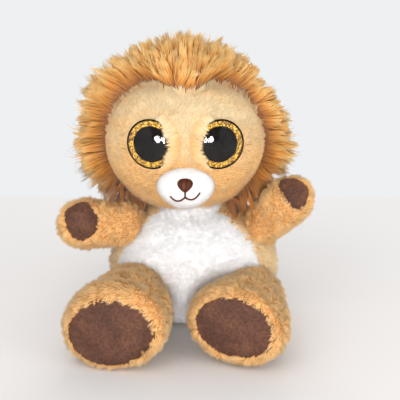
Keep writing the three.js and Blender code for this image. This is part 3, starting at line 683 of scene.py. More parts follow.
def black_plastic():
    """Injection-moulded black ABS, polished: near black, with a moulded face's faint ripple."""
    n = look("polished_black_abs")
    ripple = n.noise(9, 2)
    return n.finish(n.principled({
        "Base Color": n.ramp(ripple, (0.3, colours().black), (0.8, linear("#130f0e"))),
        "Roughness": n.span(ripple, 0.16, 0.26),
        "Specular IOR Level": 0.1,
    }))


def glitter():
    """Gold glitter in clear lacquer: metal flakes that each face their own way. They are drawn 0.9
    mm wide, over four times real flakes, so that they show."""
    n, c = look("gold_glitter_lacquer"), colours()
    flakes = n.add("TexVoronoi", {"Vector": n.place, "Scale": 1 / (0.9 * MM)}).outputs["Color"]
    shade, gloss, tilt = n.add("SeparateColor", {0: flakes}).outputs
    stops = (0.2, linear("#3a2204")), (0.42, c.gold), (0.65, c.gold), (0.85, c.bright_gold)
    return n.finish(n.principled({
        "Base Color": n.ramp(shade, *stops),
        "Roughness": n.span(gloss, 0.25, 0.6),
        "Normal": n.bump(tilt, 0.5, 0.25),
        "Metallic": 0.55,
    }))


def clear_dome():
    """Clear moulded acrylic, polished: it shows what is under it and mirrors the lamps by Fresnel,
    on its outer face alone."""
    n = look("clear_acrylic")
    rough = n.span(n.noise(12, 1), 0.02, 0.05)
    gloss = n.add("BsdfGlossy", {"Color": (0.5, 0.5, 0.5, 1), "Roughness": rough}).outputs[0]
    clear = n.add("BsdfTransparent").outputs[0]
    mirrored = n.add("Fresnel", {"IOR": 1.49}).outputs[0]
    inner = n.add("NewGeometry").outputs["Backfacing"]
    share = n.math("MULTIPLY", mirrored, n.math("SUBTRACT", 1.0, inner))
    return n.finish(n.add("MixShader", {0: share, 1: clear, 2: gloss}).outputs[0])


def plain_fabric(name, base, thread_gap, roughness):
    """A pale hidden fabric or fibre, with the grain of its threads."""
    n = look(name)
    grain = n.noise(thread_gap, 6)
    return n.finish(n.principled({
        "Base Color": n.ramp(grain, (0.3, [c * 0.8 for c in linear(base)]), (0.7, linear(base))),
        "Roughness": n.span(grain, roughness - 0.1, roughness),
        "Normal": n.bump(grain, 0.6, 0.5),
    }))


# The toy's pieces, one operator each


class LION_OT_stuffing(bpy.types.Operator):
    """Gives the hidden stuffing, seat pouch and washers their materials"""

    bl_idname = "lion.stuffing"
    bl_label = "Stuffing"

    def execute(self, context):
        fibre = plain_fabric("hollowfibre_stuffing", "#f2f2ee", 2.5, 1.0)
        pouch = plain_fabric("cotton_pellet_pouch", "#d9d4c8", 0.8, 0.95)
        nylon = plain_fabric("moulded_nylon", "#e6e6e0", 6, 0.5)
        for name, node in frame["nodes"].items():
            kind = nylon if "washer" in name else pouch if "pouch" in name else fibre
            if "_fill" in name or kind is not fibre:
                node.data.materials.clear()
                node.data.materials.append(kind)
        return {"FINISHED"}


class LION_OT_torso(bpy.types.Operator):
    """Makes the body's tan plush and the white belly"""

    bl_idname = "lion.torso"
    bl_label = "Torso and belly"

    def execute(self, context):
        rng = np.random.default_rng(11)
        nodes = ["torso_cover", "belly_panel", "neck_fill"]
        kinds = ("arm", "leg", "palm", "sole", "tail", "torso_fill")
        bridged = [n for kind in kinds for n in frame["nodes"] if n.startswith(kind)]
        skin = wrap(
            nodes, middle("torso_cover"), fineness=7, rounds=30, bridged=bridged,
            raised={"neck_fill": 2.4 * MM},
        )
        low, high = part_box("belly_panel")
        wide = high.x - low.x
        ahead = (skin.points[:, 1] < joint_place("head_turn")[1]) & (skin.solid == 2)
        ahead &= np.abs(skin.points[:, 0] - (low.x + high.x) / 2) < 0.42 * wide
        white = (skin.solid == 1) | ahead
        free = ~resting(skin)
        roots, normals = scatter(skin, widened(skin, ~white) & free, 0.9 * MM, rng)
        towards = 0.5 * drift(roots, 22 * MM, rng) - UP
        # the pile low on the torso is paler: painted light from the floor
        painted_floor_light = 1 - smoothstep(roots[:, 2], 78 * MM, 112 * MM)
        fur = coat(
            roots, normals, rng, towards, amount=0.5, pile=sizes().body_pile, width=0.8 * MM,
            lock=5 * MM, gather=0.35, uneven=0.3, soft=0.75, tone=0.7 * painted_floor_light,
        )
        surfaces = [part_of(skin, ~white), fur]
        soft_piece("torso_plush", surfaces, tan_plush(), "torso", "torso_cover")
        roots, normals = scatter(skin, widened(skin, white) & free, 0.75 * MM, rng)
        away = (roots - middle("belly_panel")) / (0.5 * wide)
        towards = 1.2 * away - 0.5 * UP + 0.5 * drift(roots, 18 * MM, rng)
        fur = coat(
            roots, normals, rng, towards, amount=0.55, pile=sizes().belly_pile, width=0.75 * MM,
            gather=0.35, uneven=0.3, soft=0.7,
        )
        surfaces = [part_of(skin, white, 0.2 * MM), fur]
        soft_piece("belly_plush", surfaces, white_plush(), "torso", "belly_panel")
        return {"FINISHED"}


def head_skin():
    """The skin of the head, without its mane, and its middle."""
    centre = middle("head_fill")
    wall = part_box("head_fill")[0].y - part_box("face_panel")[0].y
    bridged = [n for n in frame["nodes"] if n.startswith("eye_") or n == "neck_fill"]
    nodes, raised = ["face_panel", "head_fill"], {"head_fill": wall}
    skin = wrap(nodes, centre, fineness=7, rounds=30, bridged=bridged, raised=raised)
    return skin, centre


def eye_axis(side):
    """The middle of an eye's pupil and the way it looks."""
    pupil = corners("eye_pupil_" + side).mean(0)
    return pupil, unit(pupil - corners("eye_washer_" + side).mean(0))


def about_eye(points, side):
    """How far points lie from an eye's axis and along it, and the ways out to them."""
    pupil, way = eye_axis(side)
    high = (points - pupil) @ way
    flat = points - pupil - np.outer(high, way)
    return np.linalg.norm(flat, axis=1), high, unit(flat)


def eye_rim(side):
    """The radius of an eye's rim."""
    return about_eye(corners("eye_back_" + side), side)[0].max()


def clear_of_eyes(points, margin):
    """True where points lie outside both eyes' rims by a margin, or well behind the eyes."""
    clear = np.ones(len(points), bool)
    for side in SIDES:
        gap, high, _ = about_eye(points, side)
        clear &= (gap > eye_rim(side) + margin) | (high < -12 * MM)
    return clear


def muzzle_gap(points):
    """How far points lie from the muzzle's middle, as a share of its outline."""
    low, high = (np.array(c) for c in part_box("muzzle_cover"))
    centre, half = (low + high) / 2, (high - low) / 2
    return np.hypot(*((points - centre) / half)[:, (0, 2)].T) + 10 * (points[:, 1] > 0)


class LION_OT_face(bpy.types.Operator):
    """Makes the short plush of the face"""

    bl_idname = "lion.face"
    bl_label = "Face"

    def execute(self, context):
        s = sizes()
        rng = np.random.default_rng(23)
        skin, centre = head_skin()
        face = skin.solid == 0
        focus = middle("muzzle_cover") + np.array([0, -10 * MM, 8 * MM])
        eye = eye_axis("left")[0]
        top_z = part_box("face_panel")[1].z

        def cream(points):
            """How pale the pile is: most on the brow, and between the eyes."""
            aside, z = np.abs(points[:, 0] - centre[0]), points[:, 2] - eye[2]
            up = smoothstep(z, -34 * MM, 26 * MM)
            up = up * (1 - 0.35 * smoothstep(aside, 18 * MM, 42 * MM))
            between = (1 - smoothstep(aside, 6 * MM, 24 * MM)) * smoothstep(z, -26 * MM, -8 * MM)
            up = np.maximum(up, 0.55 * between)
            return np.clip(up + 0.18 * drift(points, 22 * MM, rng)[:, 0], 0, 1)

        roots, normals = scatter(skin, face, 0.7 * MM, rng)
        towards = unit(roots - focus) + 0.35 * drift(roots, 24 * MM, rng)
        ways = lean(normals, towards, 0.68, rng, 0.13)
        chin = smoothstep(-unit(roots - centre)[:, 2], 0.5, 0.75)
        reach = s.face_pile * (1 + 1.1 * chin) * rng.uniform(0.7, 1.15, len(roots))
        tips = roots + ways * reach[:, None]
        inner = np.abs(roots[:, 0] - centre[0]) < np.abs(eye[0] - centre[0])
        keep = clear_of_eyes(tips, np.where(inner, -3.2 * MM, -0.4 * MM))
        keep &= muzzle_gap(roots) > 0.9
        rows = (a[keep] for a in (roots, normals, ways, reach))
        fur = grow(*rows, rng, width=0.6 * MM, gather=0.12, tone=cream, soft=0.9)

        rim = skin.solid == 1
        for _ in range(4):
            rim = widened(skin, rim) & face
        rim &= skin.points[:, 2] > centre[2] - 10 * MM
        roots, normals = scatter(skin, rim, 0.75 * MM, rng)
        towards = unit(roots - focus) + 0.5 * drift(roots, 9 * MM, rng)
        height = smoothstep(roots[:, 2], centre[2], top_z - 8 * MM)
        pile = s.face_pile + (s.brow_pile - s.face_pile) * height
        fringe = coat(
            roots, normals, rng, towards, amount=0.5, pile=pile, width=0.85 * MM, astray=0.14,
            lock=3.2 * MM, gather=0.4, uneven=0.6, tone=cream, soft=0.8, segments=2, bow=0.08,
        )
        lashes = self.lashes(skin, face, centre, cream, rng)
        under = part_of(skin, face)
        under.pile[:, 2] = cream(under.points)
        surfaces = [under, fur, fringe, lashes]
        soft_piece("face_plush", surfaces, tan_plush(), "head", "face_panel")
        return {"FINISHED"}

    def lashes(self, skin, face, centre, cream, rng):
        """The pile beside the nose's bridge, which lies over the eyes' inner rims as far as the
        pupils."""
        roots, normals = scatter(skin, face, 0.42 * MM, rng)
        kept = []
        for side in SIDES:
            pupil, way = eye_axis(side)
            rim = eye_rim(side)
            dot = np.ptp(corners("eye_pupil_" + side) @ unit(np.cross(way, UP))) / 2
            gap, high, flat = about_eye(roots, side)
            inward = flat[:, 0] * np.sign(centre[0] - pupil[0])
            near = (gap > rim + 0.3 * MM) & (gap < rim + 4.2 * MM)
            near &= (high > -15 * MM) & (inward > 0.3)
            cover = (rim - dot) * smoothstep(inward, 0.35, 0.85)
            cover *= rng.uniform(0.2, 1.15, len(roots))
            out = unit(flat + rng.normal(0, 0.06, flat.shape)) * (rim - cover)[:, None]
            tips = pupil + out + np.outer(2.2 * MM + 0.55 * cover, way)
            kept.append([a[near] for a in (roots, normals, tips)])
        roots, normals, tips = (np.concatenate(a) for a in zip(*kept))
        reach = np.linalg.norm(tips - roots, axis=1)
        return grow(
            roots, normals, unit(tips - roots), reach, rng, width=0.6 * MM, lock=2.2 * MM,
            gather=0.6, segments=3, bow=0.2, tone=lambda p: 0.85 * cream(p), soft=0.85,
        )


class LION_OT_mane(bpy.types.Operator):
    """Makes the mane: a thick undercoat, and locks that stand out all round the face"""

    bl_idname = "lion.mane"
    bl_label = "Mane"

    def execute(self, context):
        rng = np.random.default_rng(37)
        skin, centre = head_skin()
        scalp = skin.solid == 1
        self.thicken(skin, centre, ~scalp)
        _, depth, height = unit(skin.points - centre).T
        haired = scalp & ~((height < -0.85) & (depth > -0.3) & (depth < 0.5))
        ahead, behind = haired & (depth < 0.16), haired & (depth >= 0.14)
        low = ahead & (height < -0.2)
        locks = partial(self.locks, skin, centre, rng)
        front = locks(ahead, 1.1, lock=5.5 * MM, gather=0.65, wave=0.11)
        back = locks(behind, 1.6, lock=6.5 * MM, gather=0.65, wave=0.1)
        stray = locks(haired, 3.4, lock=4 * MM, gather=0.0, wave=0.15)
        tufts = locks(low, 0.95, True, lock=4 * MM, gather=0.36, wave=0.3)
        starts = back.faces[:, 0] - back.faces[:, 0] % (3 * LOCK_SEGMENTS + 1)
        high = back.points[starts, 2] >= centre[2]
        pieces = {
            "mane_front": [part_of(skin, scalp), front],
            "mane_strays": [stray, tufts],
            "mane_crown": [subset(back, back.faces[high])],
            "mane_nape": [subset(back, back.faces[~high])],
        }
        hair = mane_pile()
        for name, surfaces in pieces.items():
            soft_piece(name, surfaces, hair, "head", "mane_hood")
        return {"FINISHED"}

    def thicken(self, skin, centre, bare):
        """Raises the skin over half the way to the mane's outer form, as the undercoat fills it."""
        out = unit(skin.points - centre)
        far, _ = cast(["mane_hood"], centre + out * FAR, -out)
        thick = np.nan_to_num(FAR - far - np.linalg.norm(skin.points - centre, axis=1))
        for _ in range(14):
            thick = np.where(bare, 0, around(np.maximum(thick, 0), skin.faces))
        reshape(skin, skin.points + out * (UNDERCOAT * thick)[:, None])

    def locks(self, skin, centre, rng, chosen, spacing, hanging=False, **form):
        """Fibres that reach out to the mane's outer form, or that hang beside the chin."""
        s = sizes()
        roots, normals = scatter(skin, chosen, spacing * MM, rng)
        out = unit(roots - centre)
        radial = unit(out * np.array([1, 0.0, 1]))
        behind = smoothstep(out[:, 1], 0.0, 0.8)[:, None]
        rim = unit(radial + 0.42 * normals)
        nape = unit(0.7 * normals - 0.6 * UP)
        ways = rim * (1 - behind) + nape * behind + 0.22 * drift(roots, 18 * MM, rng)
        ways = unit(ways + rng.normal(0, 0.09, roots.shape))
        place = np.arctan2(out[:, 0], out[:, 2])
        turn = np.abs(place)
        front = 1 - behind[:, 0]
        beside = smoothstep(turn, 1.2, 1.6) * (1 - 0.6 * smoothstep(turn, 2.0, 2.7)) * front
        chin = smoothstep(turn, 1.95, 2.15) * (1 - smoothstep(turn, 2.75, 2.95)) * front
        if hanging:
            inward = -np.sign(out[:, 0])[:, None] * np.array([0.25, 0, 0])
            ways = unit(ways + chin[:, None] * (inward - 0.1 * UP - 2.0 * BACK))
        else:
            ways = unit(ways - np.outer(chin, 0.3 * UP + 0.5 * BACK))
        far, _ = cast(["mane_hood"], roots + ways * FAR, -ways)
        least = s.mane_least + (s.mane_beside - s.mane_least) * beside
        least = np.maximum(least, s.mane_chin * chin * (1 if hanging else 0.6))
        reach = np.clip(np.nan_to_num(FAR - far), least, s.mane_most)
        past = np.interp(np.degrees(place), list(OUTLINE), list(OUTLINE.values()))
        reach = (reach + past * MM * front) * rng.uniform(0.85, 1.05, len(roots))
        tone = np.maximum(smoothstep(-out[:, 2], 0.1, 0.8) * 0.5, chin)
        keep = (chin > 0.15) | (not hanging)
        roots, normals, ways, reach, tone = (a[keep] for a in (roots, normals, ways, reach, tone))
        return grow(
            roots, normals, ways, reach, rng, width=1.0 * MM, uneven=0.4, bow=0.04,
            droop=0.25 if hanging else 0.04, segments=LOCK_SEGMENTS, soft=0.55, tone=tone, **form,
        )


class LION_OT_muzzle(bpy.types.Operator):
    """Makes the white muzzle with its embroidered nose and mouth"""

    bl_idname = "lion.muzzle"
    bl_label = "Muzzle, nose and mouth"

    def execute(self, context):
        rng = np.random.default_rng(41)
        centre = middle("muzzle_fill")
        skin = wrap(
            ["muzzle_cover"], centre, fineness=6, rounds=14, bridged=["muzzle_fill"],
            inset=-0.6 * MM,
        )
        front = skin.points[:, 1] < centre[1] + 6 * MM
        roots, normals = scatter(skin, front, 0.6 * MM, rng)
        nap = coat(
            roots, normals, rng, roots - middle("nose"), amount=0.75, pile=sizes().muzzle_nap,
            width=0.55 * MM, astray=0.12, spread=(0.7, 1.1), lock=3 * MM, gather=0.1, soft=0.95,
        )
        surfaces = [part_of(skin, front), nap]
        soft_piece("muzzle_velboa", surfaces, white_plush(), "head", "muzzle_cover")
        points = [Vector(p) for p in skin.points]
        self.ground = BVHTree.FromPolygons(points, skin.faces.tolist())
        thread = embroidery()
        for node, name, shape in (
            ("nose", "nose_embroidery", self.nose),
            ("mouth_stitching", "mouth_backstitch", self.mouth),
        ):
            mesh = plain_mesh(name, *shape(*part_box(node)), thread)
            ride_piece(name, mesh, "head", node)
        return {"FINISHED"}

    def on(self, x, z, lift):
        """The point over the muzzle's surface at x and z, as seen from the front."""
        start, way = Vector((x, -FAR, z)), Vector((0, 1, 0))
        place, normal, _, _ = self.ground.ray_cast(start, way, 2 * FAR)
        if place is None:
            raise RuntimeError("the embroidery reaches past the muzzle")
        return place + (normal if normal.y < 0 else -normal) * lift

    def nose(self, low, high):
        """A domed triangle with round corners and the ridges of its stitches."""
        (x0, _, z0), (half_width, _, half_height) = (low + high) / 2, (high - low) / 2
        rings, count = 10, 72
        points = [self.on(x0, z0, 2.4 * MM)]
        for out in [ring / rings for ring in range(1, rings + 1)]:
            for i in range(count):
                a = 2 * math.pi * i / count
                up = math.sin(a)
                wide = half_width * (0.86 + 0.3 * up - 0.14 * up * up)
                x = x0 + wide * out * math.copysign(abs(math.cos(a)) ** 0.85, math.cos(a))
                dome = 2.1 * MM * math.sqrt(max(0.0, 1 - out**2.6)) + 0.3 * MM
                ridge = 0.1 * MM * math.cos(2 * math.pi * (x - x0) / (0.9 * MM))
                lift = dome + ridge * (1 - out**4)
                points.append(self.on(x, z0 + half_height * out * up, lift))
        tip = [[0, 1 + (i + 1) % count, 1 + i] for i in range(count)]
        return points, tip + hoops(rings, count, 1)

    def mouth(self, low, high):
        """The line under the nose and the smile, in stitches end to end."""
        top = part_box("nose")[0].z + 0.4 * MM
        x0, half = (low.x + high.x) / 2, (high.x - low.x) / 2 - 0.5 * MM
        fork = top - 4.4 * MM
        runs = [[(x0, top), (x0, (top + fork) / 2), (x0, fork)]]
        for half_across in (-half, half):
            run = []
            for t in [i / 10 for i in range(11)]:
                sag = 2.8 * MM * math.sin(math.pi * t) - 1.7 * MM * t**4
                run.append((x0 + half_across * t, fork - sag + half_across * t * 0.13))
            runs.append(run)
        points, faces = [], []
        for start, end in [pair for run in runs for pair in zip(run, run[1:])]:
            ends = [self.on(*place, THREAD_LIFT) for place in (start, end)]
            spindle, quads = self.stitch(*ends)
            faces += [[len(points) + i for i in face] for face in quads]
            points += spindle
        return points, faces

    def stitch(self, start, end):
        """A spindle of thread from start to end, and a little past both."""
        past, radius, rows, count = 0.35 * MM, 0.72 * MM, 7, 10
        way = (end - start).normalized()
        span = (end - start).length + 2 * past
        steps = [row / (rows - 1) for row in range(rows)]
        thick = [radius * math.sqrt(max(0.02, 1 - (2 * t - 1) ** 4)) for t in steps]
        profile = [(r, span * t) for r, t in zip(thick, steps)]
        points, faces = turned(profile, start - way * past, way, count)
        last = len(points)
        return points, faces + [list(range(count))[::-1], list(range(last - count, last))]


class LION_OT_eyes(bpy.types.Operator):
    """Makes the eyes: back plate with its rim, glitter ring, pupil and clear dome"""

    bl_idname = "lion.eyes"
    bl_label = "Eyes"

    def execute(self, context):
        black, gold, clear = black_plastic(), glitter(), clear_dome()
        bead = 0.8 * MM  # radius of the rim's rounded edge
        domed = 0.5 * MM  # how far the pupil rises to its middle
        edge = 0.3 * MM  # height of the lens's straight edge
        for side in SIDES:
            radius, high, _ = about_eye(corners("eye_back_" + side), side)
            rim, low, top = radius.max(), high.min(), high.max()
            stem = radius[high < low + 1 * MM].max()
            ring_radius, ring_high, _ = about_eye(corners("eye_glitter_ring_" + side), side)
            inner, base, face = ring_radius.min(), ring_high.min(), ring_high.max()
            wall = rim - 1.4 * MM
            outer = min(ring_radius.max(), wall - 0.1 * MM)
            back, plate = base - 1.9 * MM, base - 0.3 * MM
            curve = [
                (rim - bead * (1 - math.sin(a)), top - bead * (1 - math.cos(a)))
                for a in np.linspace(math.pi / 2, 0, 5)
            ]
            stemmed = [(0, low), (stem, low), (stem, back), (wall, back)]
            inside = [(wall, top - 0.1 * MM), (wall, plate), (0, plate)]
            self.turn("eye_back", side, [*stemmed, *curve, *inside], black, "black")
            ring = [(inner, base), (outer, base), (outer, face), (inner, face), (inner, base)]
            self.turn("eye_glitter_ring", side, ring, gold, "glitter")
            dot = about_eye(corners("eye_pupil_" + side), side)[0].max()
            curve = [(dot * math.cos(a), face + domed * math.sin(a)) for a in (0.3, 0.8, 1.2)]
            disc = [(0, base), (dot, base), (dot, face), *curve, (0, face + domed)]
            self.turn("eye_pupil", side, disc, black, "black")
            high = about_eye(corners("eye_lens_" + side), side)[1]
            foot, dome = high.min() + 0.25 * MM, np.ptp(high) - 0.5 * MM
            curve = [
                (outer * math.cos(a), foot + edge + dome * math.sin(a))
                for a in np.linspace(0.02, math.pi / 2, 20)
            ]
            curve[-1] = (0, curve[-1][1])
            self.turn("eye_lens", side, [(0, foot), (outer, foot), *curve], clear, "clear")
        return {"FINISHED"}

    def turn(self, kind, side, profile, material, slot):
        """One turned piece on an eye's axis, with its sharp edges kept."""
        node = f"{kind}_{side}"
        name = node + "_fine"
        mesh = plain_mesh(name, *turned(profile, *eye_axis(side), 96), material)
        shape = bmesh.new()
        shape.from_mesh(mesh)
        bmesh.ops.remove_doubles(shape, verts=shape.verts, dist=1e-6)
        bmesh.ops.dissolve_degenerate(shape, edges=shape.edges, dist=1e-7)
        bmesh.ops.recalc_face_normals(shape, faces=shape.faces)
        shape.to_mesh(mesh)
        shape.free()
        mesh.set_sharp_from_angle(angle=math.radians(40))
        ride_piece(name, mesh, "head", node)


# For each limb: how many rings of points its pile goes on over the pad, on the body's side, and how
# far in mm its skin is drawn in, less where the stuffing is near
LIMBS = {"arm_left": (8, 2.2), "arm_right": (1, 0.0), "leg_left": (0, 1.2), "leg_right": (0, -2.2)}


def dress_limb(kind, side, pad, seed):
    """The tan plush and the velour pad of an arm or a leg. kind is arm or leg."""
    rng = np.random.default_rng(seed)
    body = f"{kind}_{side}"
    cover, velour, fill = f"{kind}_cover_{side}", f"{pad}_{side}", f"{kind}_fill_{side}"
    overlap, sink = LIMBS[body]
    skin = wrap([cover, velour], middle(cover), fineness=6, rounds=12, bridged=[fill])
    spare, _ = cast([fill], skin.points, -skin.normals)
    spare = np.nan_to_num(spare, nan=FAR) - 0.6 * MM
    pivot = joint_place(f"{body}_" + ("raise" if kind == "arm" else "lift"))
    inside = corners(fill)
    end = inside[np.argmax(np.linalg.norm(inside - pivot, axis=1))]
    along = unit(middle(fill) - pivot) if kind == "leg" else unit(end - pivot)
    behind_pad = (middle(velour) - skin.points) @ along
    sunk = np.full(len(spare), sink * MM)
    if kind == "leg":
        sunk += ankle_crease(skin, behind_pad)
    reshape(skin, skin.points - skin.normals * np.minimum(sunk, spare)[:, None])
    behind_pad = (middle(velour) - skin.points) @ along
    kept = bare = skin.solid == 1
    for _ in range(overlap):
        kept = kept & ~widened(skin, ~kept)
    bare = bare & (kept | (behind_pad < 4 * MM))
    chosen = widened(skin, ~bare) & ~resting(skin)
    roots, normals = scatter(skin, chosen, 0.85 * MM, rng)
    clear = np.linalg.norm(roots - pivot, axis=1) > BARE_ROUND_JOINT
    roots, normals = roots[clear], normals[clear]
    towards = along + 0.5 * drift(roots, 18 * MM, rng) - 0.2 * UP
    fur = coat(
        roots, normals, rng, towards, amount=0.45, pile=sizes().body_pile, width=0.75 * MM,
        lock=5 * MM, gather=0.4, uneven=0.3, soft=0.75,
    )
    surfaces = [part_of(skin, ~bare), fur]
    soft_piece(f"{kind}_plush_{side}", surfaces, tan_plush(), body, cover)
    surfaces = [part_of(skin, bare, 0.3 * MM)]
    soft_piece(f"{pad}_velour_{side}", surfaces, pad_velour(), body, velour)


def ankle_crease(skin, behind_sole):
    """How far a leg's skin is drawn in round its upper side, where the foot meets the thigh. It
    swells on both sides of that."""
    off = (behind_sole - 25 * MM) / (6 * MM)
    swell = np.exp(-((np.abs(off) - 2.2) ** 2) / 1.2)
    return (1.6 * np.exp(-(off**2)) - 1.2 * swell) * MM * smoothstep(skin.normals[:, 2], -0.5, 0.3)


class LION_OT_arms(bpy.types.Operator):
    """Makes both arms with their palm pads"""

    bl_idname = "lion.arms"
    bl_label = "Arms"

    def execute(self, context):
        for seed, side in enumerate(SIDES, 51):
            dress_limb("arm", side, "palm_pad", seed)
        return {"FINISHED"}


class LION_OT_legs(bpy.types.Operator):
    """Makes both legs with their sole pads"""

    bl_idname = "lion.legs"
    bl_label = "Legs"

    def execute(self, context):
        for seed, side in enumerate(SIDES, 61):
            dress_limb("leg", side, "sole_pad", seed)
        return {"FINISHED"}


def melted(node, voxel=1.2 * MM, rounds=6):
    """A node's solid as an evenly meshed, smoothed surface."""
    shape = frame["nodes"][node].copy()
    shape.data = shape.data.copy()
    shape.parent = None
    bpy.context.scene.collection.objects.link(shape)
    remesh = shape.modifiers.new("even", "REMESH")
    remesh.mode, remesh.voxel_size = "VOXEL", voxel
    smooth = shape.modifiers.new("soft", "SMOOTH")
    smooth.factor, smooth.iterations = 0.6, rounds
    shape.modifiers.new("triangles", "TRIANGULATE")
    bpy.context.view_layer.update()
    mesh = shape.evaluated_get(bpy.context.evaluated_depsgraph_get()).to_mesh()
    points = np.array([v.co for v in mesh.vertices])
    faces = np.array([list(p.vertices) for p in mesh.polygons])
    data = shape.data
    bpy.data.objects.remove(shape)
    bpy.data.meshes.remove(data)
    points[:, 2] = np.maximum(points[:, 2], SKIN_LOWEST)
    low, high = points.min(0), points.max(0)
    cell = ((points - low) / (high - low))[:, (0, 2)]
    return Surface(points, faces, outward(points, faces), np.zeros((len(points), 3)), cell)


class LION_OT_tail(bpy.types.Operator):
    """Makes the tail and its tuft"""

    bl_idname = "lion.tail"
    bl_label = "Tail"

    def execute(self, context):
        s = sizes()
        rng = np.random.default_rng(71)
        skin = melted("tail_cover")
        roots, normals = scatter(skin, np.ones(len(skin.points), bool), 0.95 * MM, rng)
        tip = corners("tail_tuft").mean(0)
        fur = coat(
            roots, normals, rng, tip - roots, amount=0.6, pile=s.body_pile * 0.7, width=0.9 * MM,
            spread=(0.7, 1.1),
        )
        soft_piece("tail_plush", [skin, fur], tan_plush(), "tail", "tail_cover")
        skin = melted("tail_tuft")
        roots, normals = scatter(skin, np.ones(len(skin.points), bool), 1.1 * MM, rng)
        base = corners("tail_cover")
        base = base[np.argmin(np.linalg.norm(base - tip, axis=1))]
        towards = unit(tip - base) + 0.3 * drift(roots, 10 * MM, rng)
        fur = coat(
            roots, normals, rng, towards, amount=0.7, pile=s.tuft_pile, width=1.1 * MM,
            spread=(0.6, 1.1), lock=5 * MM, gather=0.55, segments=2, soft=0.55,
        )
        soft_piece("tail_tuft_pile", [skin, fur], mane_pile(), "tail", "tail_tuft")
        return {"FINISHED"}


# Each softbox's place, width in metres and power in watts
SOFTBOXES = {
    "key_softbox": ((-0.75, -0.95, 1.15), 1.1, 6.2),
    "fill_softbox": ((1.0, -0.7, 0.5), 0.9, 4.2),
    "front_softbox": ((0.05, -2.4, 0.45), 0.9, 40.0),
    "back_softbox": ((0.1, 1.6, 1.3), 1.2, 16.0),
}
# The small lamps that only mirrors show: their turns from straight ahead in degrees, their distance
# and height, width and power
CATCH_TURNS = (-13, 5.5)
CATCH_FAR, CATCH_HIGH, CATCH_WIDE, CATCH_POWER = 0.7, 0.235, 0.21, 6.6
LAMPS_TARGET = (0, 0, 0.1)
LENS = 63.8  # the camera's focal length in mm


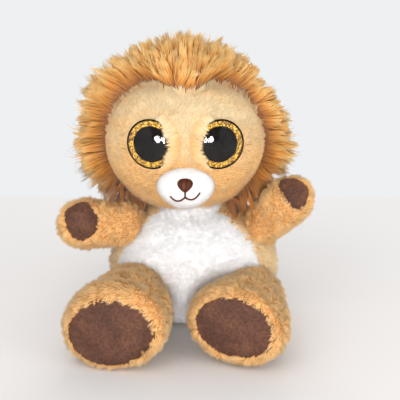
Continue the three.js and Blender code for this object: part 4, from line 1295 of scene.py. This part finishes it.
class LION_OT_studio(bpy.types.Operator):
    """Makes the pale floor and wall, the lamps and the camera"""

    bl_idname = "lion.studio"
    bl_label = "Studio"

    def execute(self, context):
        s, scene = sizes(), context.scene
        scene.view_settings.view_transform = "Standard"
        self.ground()
        scene.world = scene.world or bpy.data.worlds.new("studio")
        self.room(Nodes(scene.world))
        for name, row in SOFTBOXES.items():
            self.lamp(name, *row).visible_glossy = False
        for number, way in enumerate(np.radians(CATCH_TURNS)):
            place = (CATCH_FAR * math.sin(way), -CATCH_FAR * math.cos(way), CATCH_HIGH)
            lamp = self.lamp(f"catch_light_{number}", place, CATCH_WIDE, CATCH_POWER)
            lamp.visible_diffuse = False
        data = bpy.data.cameras.new("camera")
        data.lens, data.clip_start = LENS, 10 * MM
        place = (s.camera_side, -s.camera_back, s.camera_height)
        scene.camera = self.aimed("camera", data, place, (s.camera_side, 0, s.target_height))
        return {"FINISHED"}

    def aimed(self, name, data, place, target):
        """A lamp or camera that looks at a point."""
        thing = bpy.data.objects.new(name, data)
        bpy.context.scene.collection.objects.link(thing)
        thing.location = place
        way = Vector(target) - Vector(place)
        thing.rotation_euler = way.to_track_quat("-Z", "Y").to_euler()
        return thing

    def lamp(self, name, place, size, power):
        data = bpy.data.lights.new(name, "AREA")
        data.shape, data.size, data.energy = "DISK", size, power
        return self.aimed(name, data, place, LAMPS_TARGET)

    def room(self, n):
        """The light of the room: even, and dark in mirrors where the photographer would stand."""
        across, ahead, _ = n.add("SeparateXYZ", {0: n.way}).outputs
        beside = n.span(n.math("ABSOLUTE", across), 0.03, 1.0, 0.42, 0.5)
        pale = n.math("MAXIMUM", beside, n.math("GREATER_THAN", ahead, 0.0))
        path = n.add("LightPath").outputs
        lit = n.add("Mix", {0: path["Is Glossy Ray"], 2: 1.0, 3: pale}).outputs[0]
        strength = n.add("Mix", {0: path["Is Camera Ray"], 2: lit, 3: 1.0}).outputs[0]
        light = {"Color": (*colours().wall, 1), "Strength": strength}
        n.finish(n.add("Background", light).outputs[0])

    def ground(self):
        """A wide floor that is paler behind the toy."""
        board = bmesh.new()
        bmesh.ops.create_grid(board, x_segments=40, y_segments=40, size=20)
        mesh = bpy.data.meshes.new("studio_floor")
        board.to_mesh(mesh)
        board.free()
        mesh.materials.append(self.paint())
        floor = bpy.data.objects.new("studio_floor", mesh)
        bpy.context.scene.collection.objects.link(floor)

    def paint(self):
        """Matt painted board with a faint unevenness. Behind the toy the camera and mirrors see it
        as an even pale backdrop."""
        n, c, back = look("matt_painted_board"), colours(), sizes().wall_back
        depth = n.add("SeparateXYZ", {0: n.place}).outputs[1]
        far = n.span(depth, 0.0, 1.0, back - 10 * MM, back + 15 * MM)
        value = n.span(n.noise(250, 2), 0.985, 1.015)
        tint = n.tinted((*c.floor, 1), value)
        board = n.principled({"Base Color": tint, "Roughness": 0.9, "Specular IOR Level": 0.2})
        path = n.add("LightPath").outputs
        seen = n.math("MAXIMUM", path["Is Camera Ray"], path["Is Glossy Ray"])
        glow = n.add("Emission", {"Color": (*c.wall, 1)}).outputs[0]
        mix = {0: n.math("MULTIPLY", far, seen), 1: board, 2: glow}
        return n.finish(n.add("MixShader", mix).outputs[0])


OPERATORS = (
    LION_OT_studio,
    LION_OT_stuffing,
    LION_OT_torso,
    LION_OT_face,
    LION_OT_mane,
    LION_OT_muzzle,
    LION_OT_eyes,
    LION_OT_arms,
    LION_OT_legs,
    LION_OT_tail,
)


class LION_PT_panel(bpy.types.Panel):
    """Lists the operators and the sizes"""

    bl_idname = "LION_PT_panel"
    bl_label = "Plush lion"
    bl_space_type = "VIEW_3D"
    bl_region_type = "UI"
    bl_category = "Plush lion"

    def draw(self, context):
        for operator in OPERATORS:
            self.layout.operator(operator.bl_idname)
        for group in (context.scene.lion_sizes, context.scene.lion_colours):
            for name in group.__annotations__:
                self.layout.prop(group, name)


CLASSES = (LionSizes, LionColours, *OPERATORS, LION_PT_panel)


def register():
    for kind in CLASSES:
        bpy.utils.register_class(kind)
    bpy.types.Scene.lion_sizes = PointerProperty(type=LionSizes)
    bpy.types.Scene.lion_colours = PointerProperty(type=LionColours)


def unregister():
    del bpy.types.Scene.lion_colours
    del bpy.types.Scene.lion_sizes
    for kind in reversed(CLASSES):
        bpy.utils.unregister_class(kind)


def main():
    """Makes the whole toy."""
    register()
    for operator in OPERATORS:
        group, name = operator.bl_idname.split(".")
        getattr(getattr(bpy.ops, group), name)()


if __name__ == "__main__":
    main()
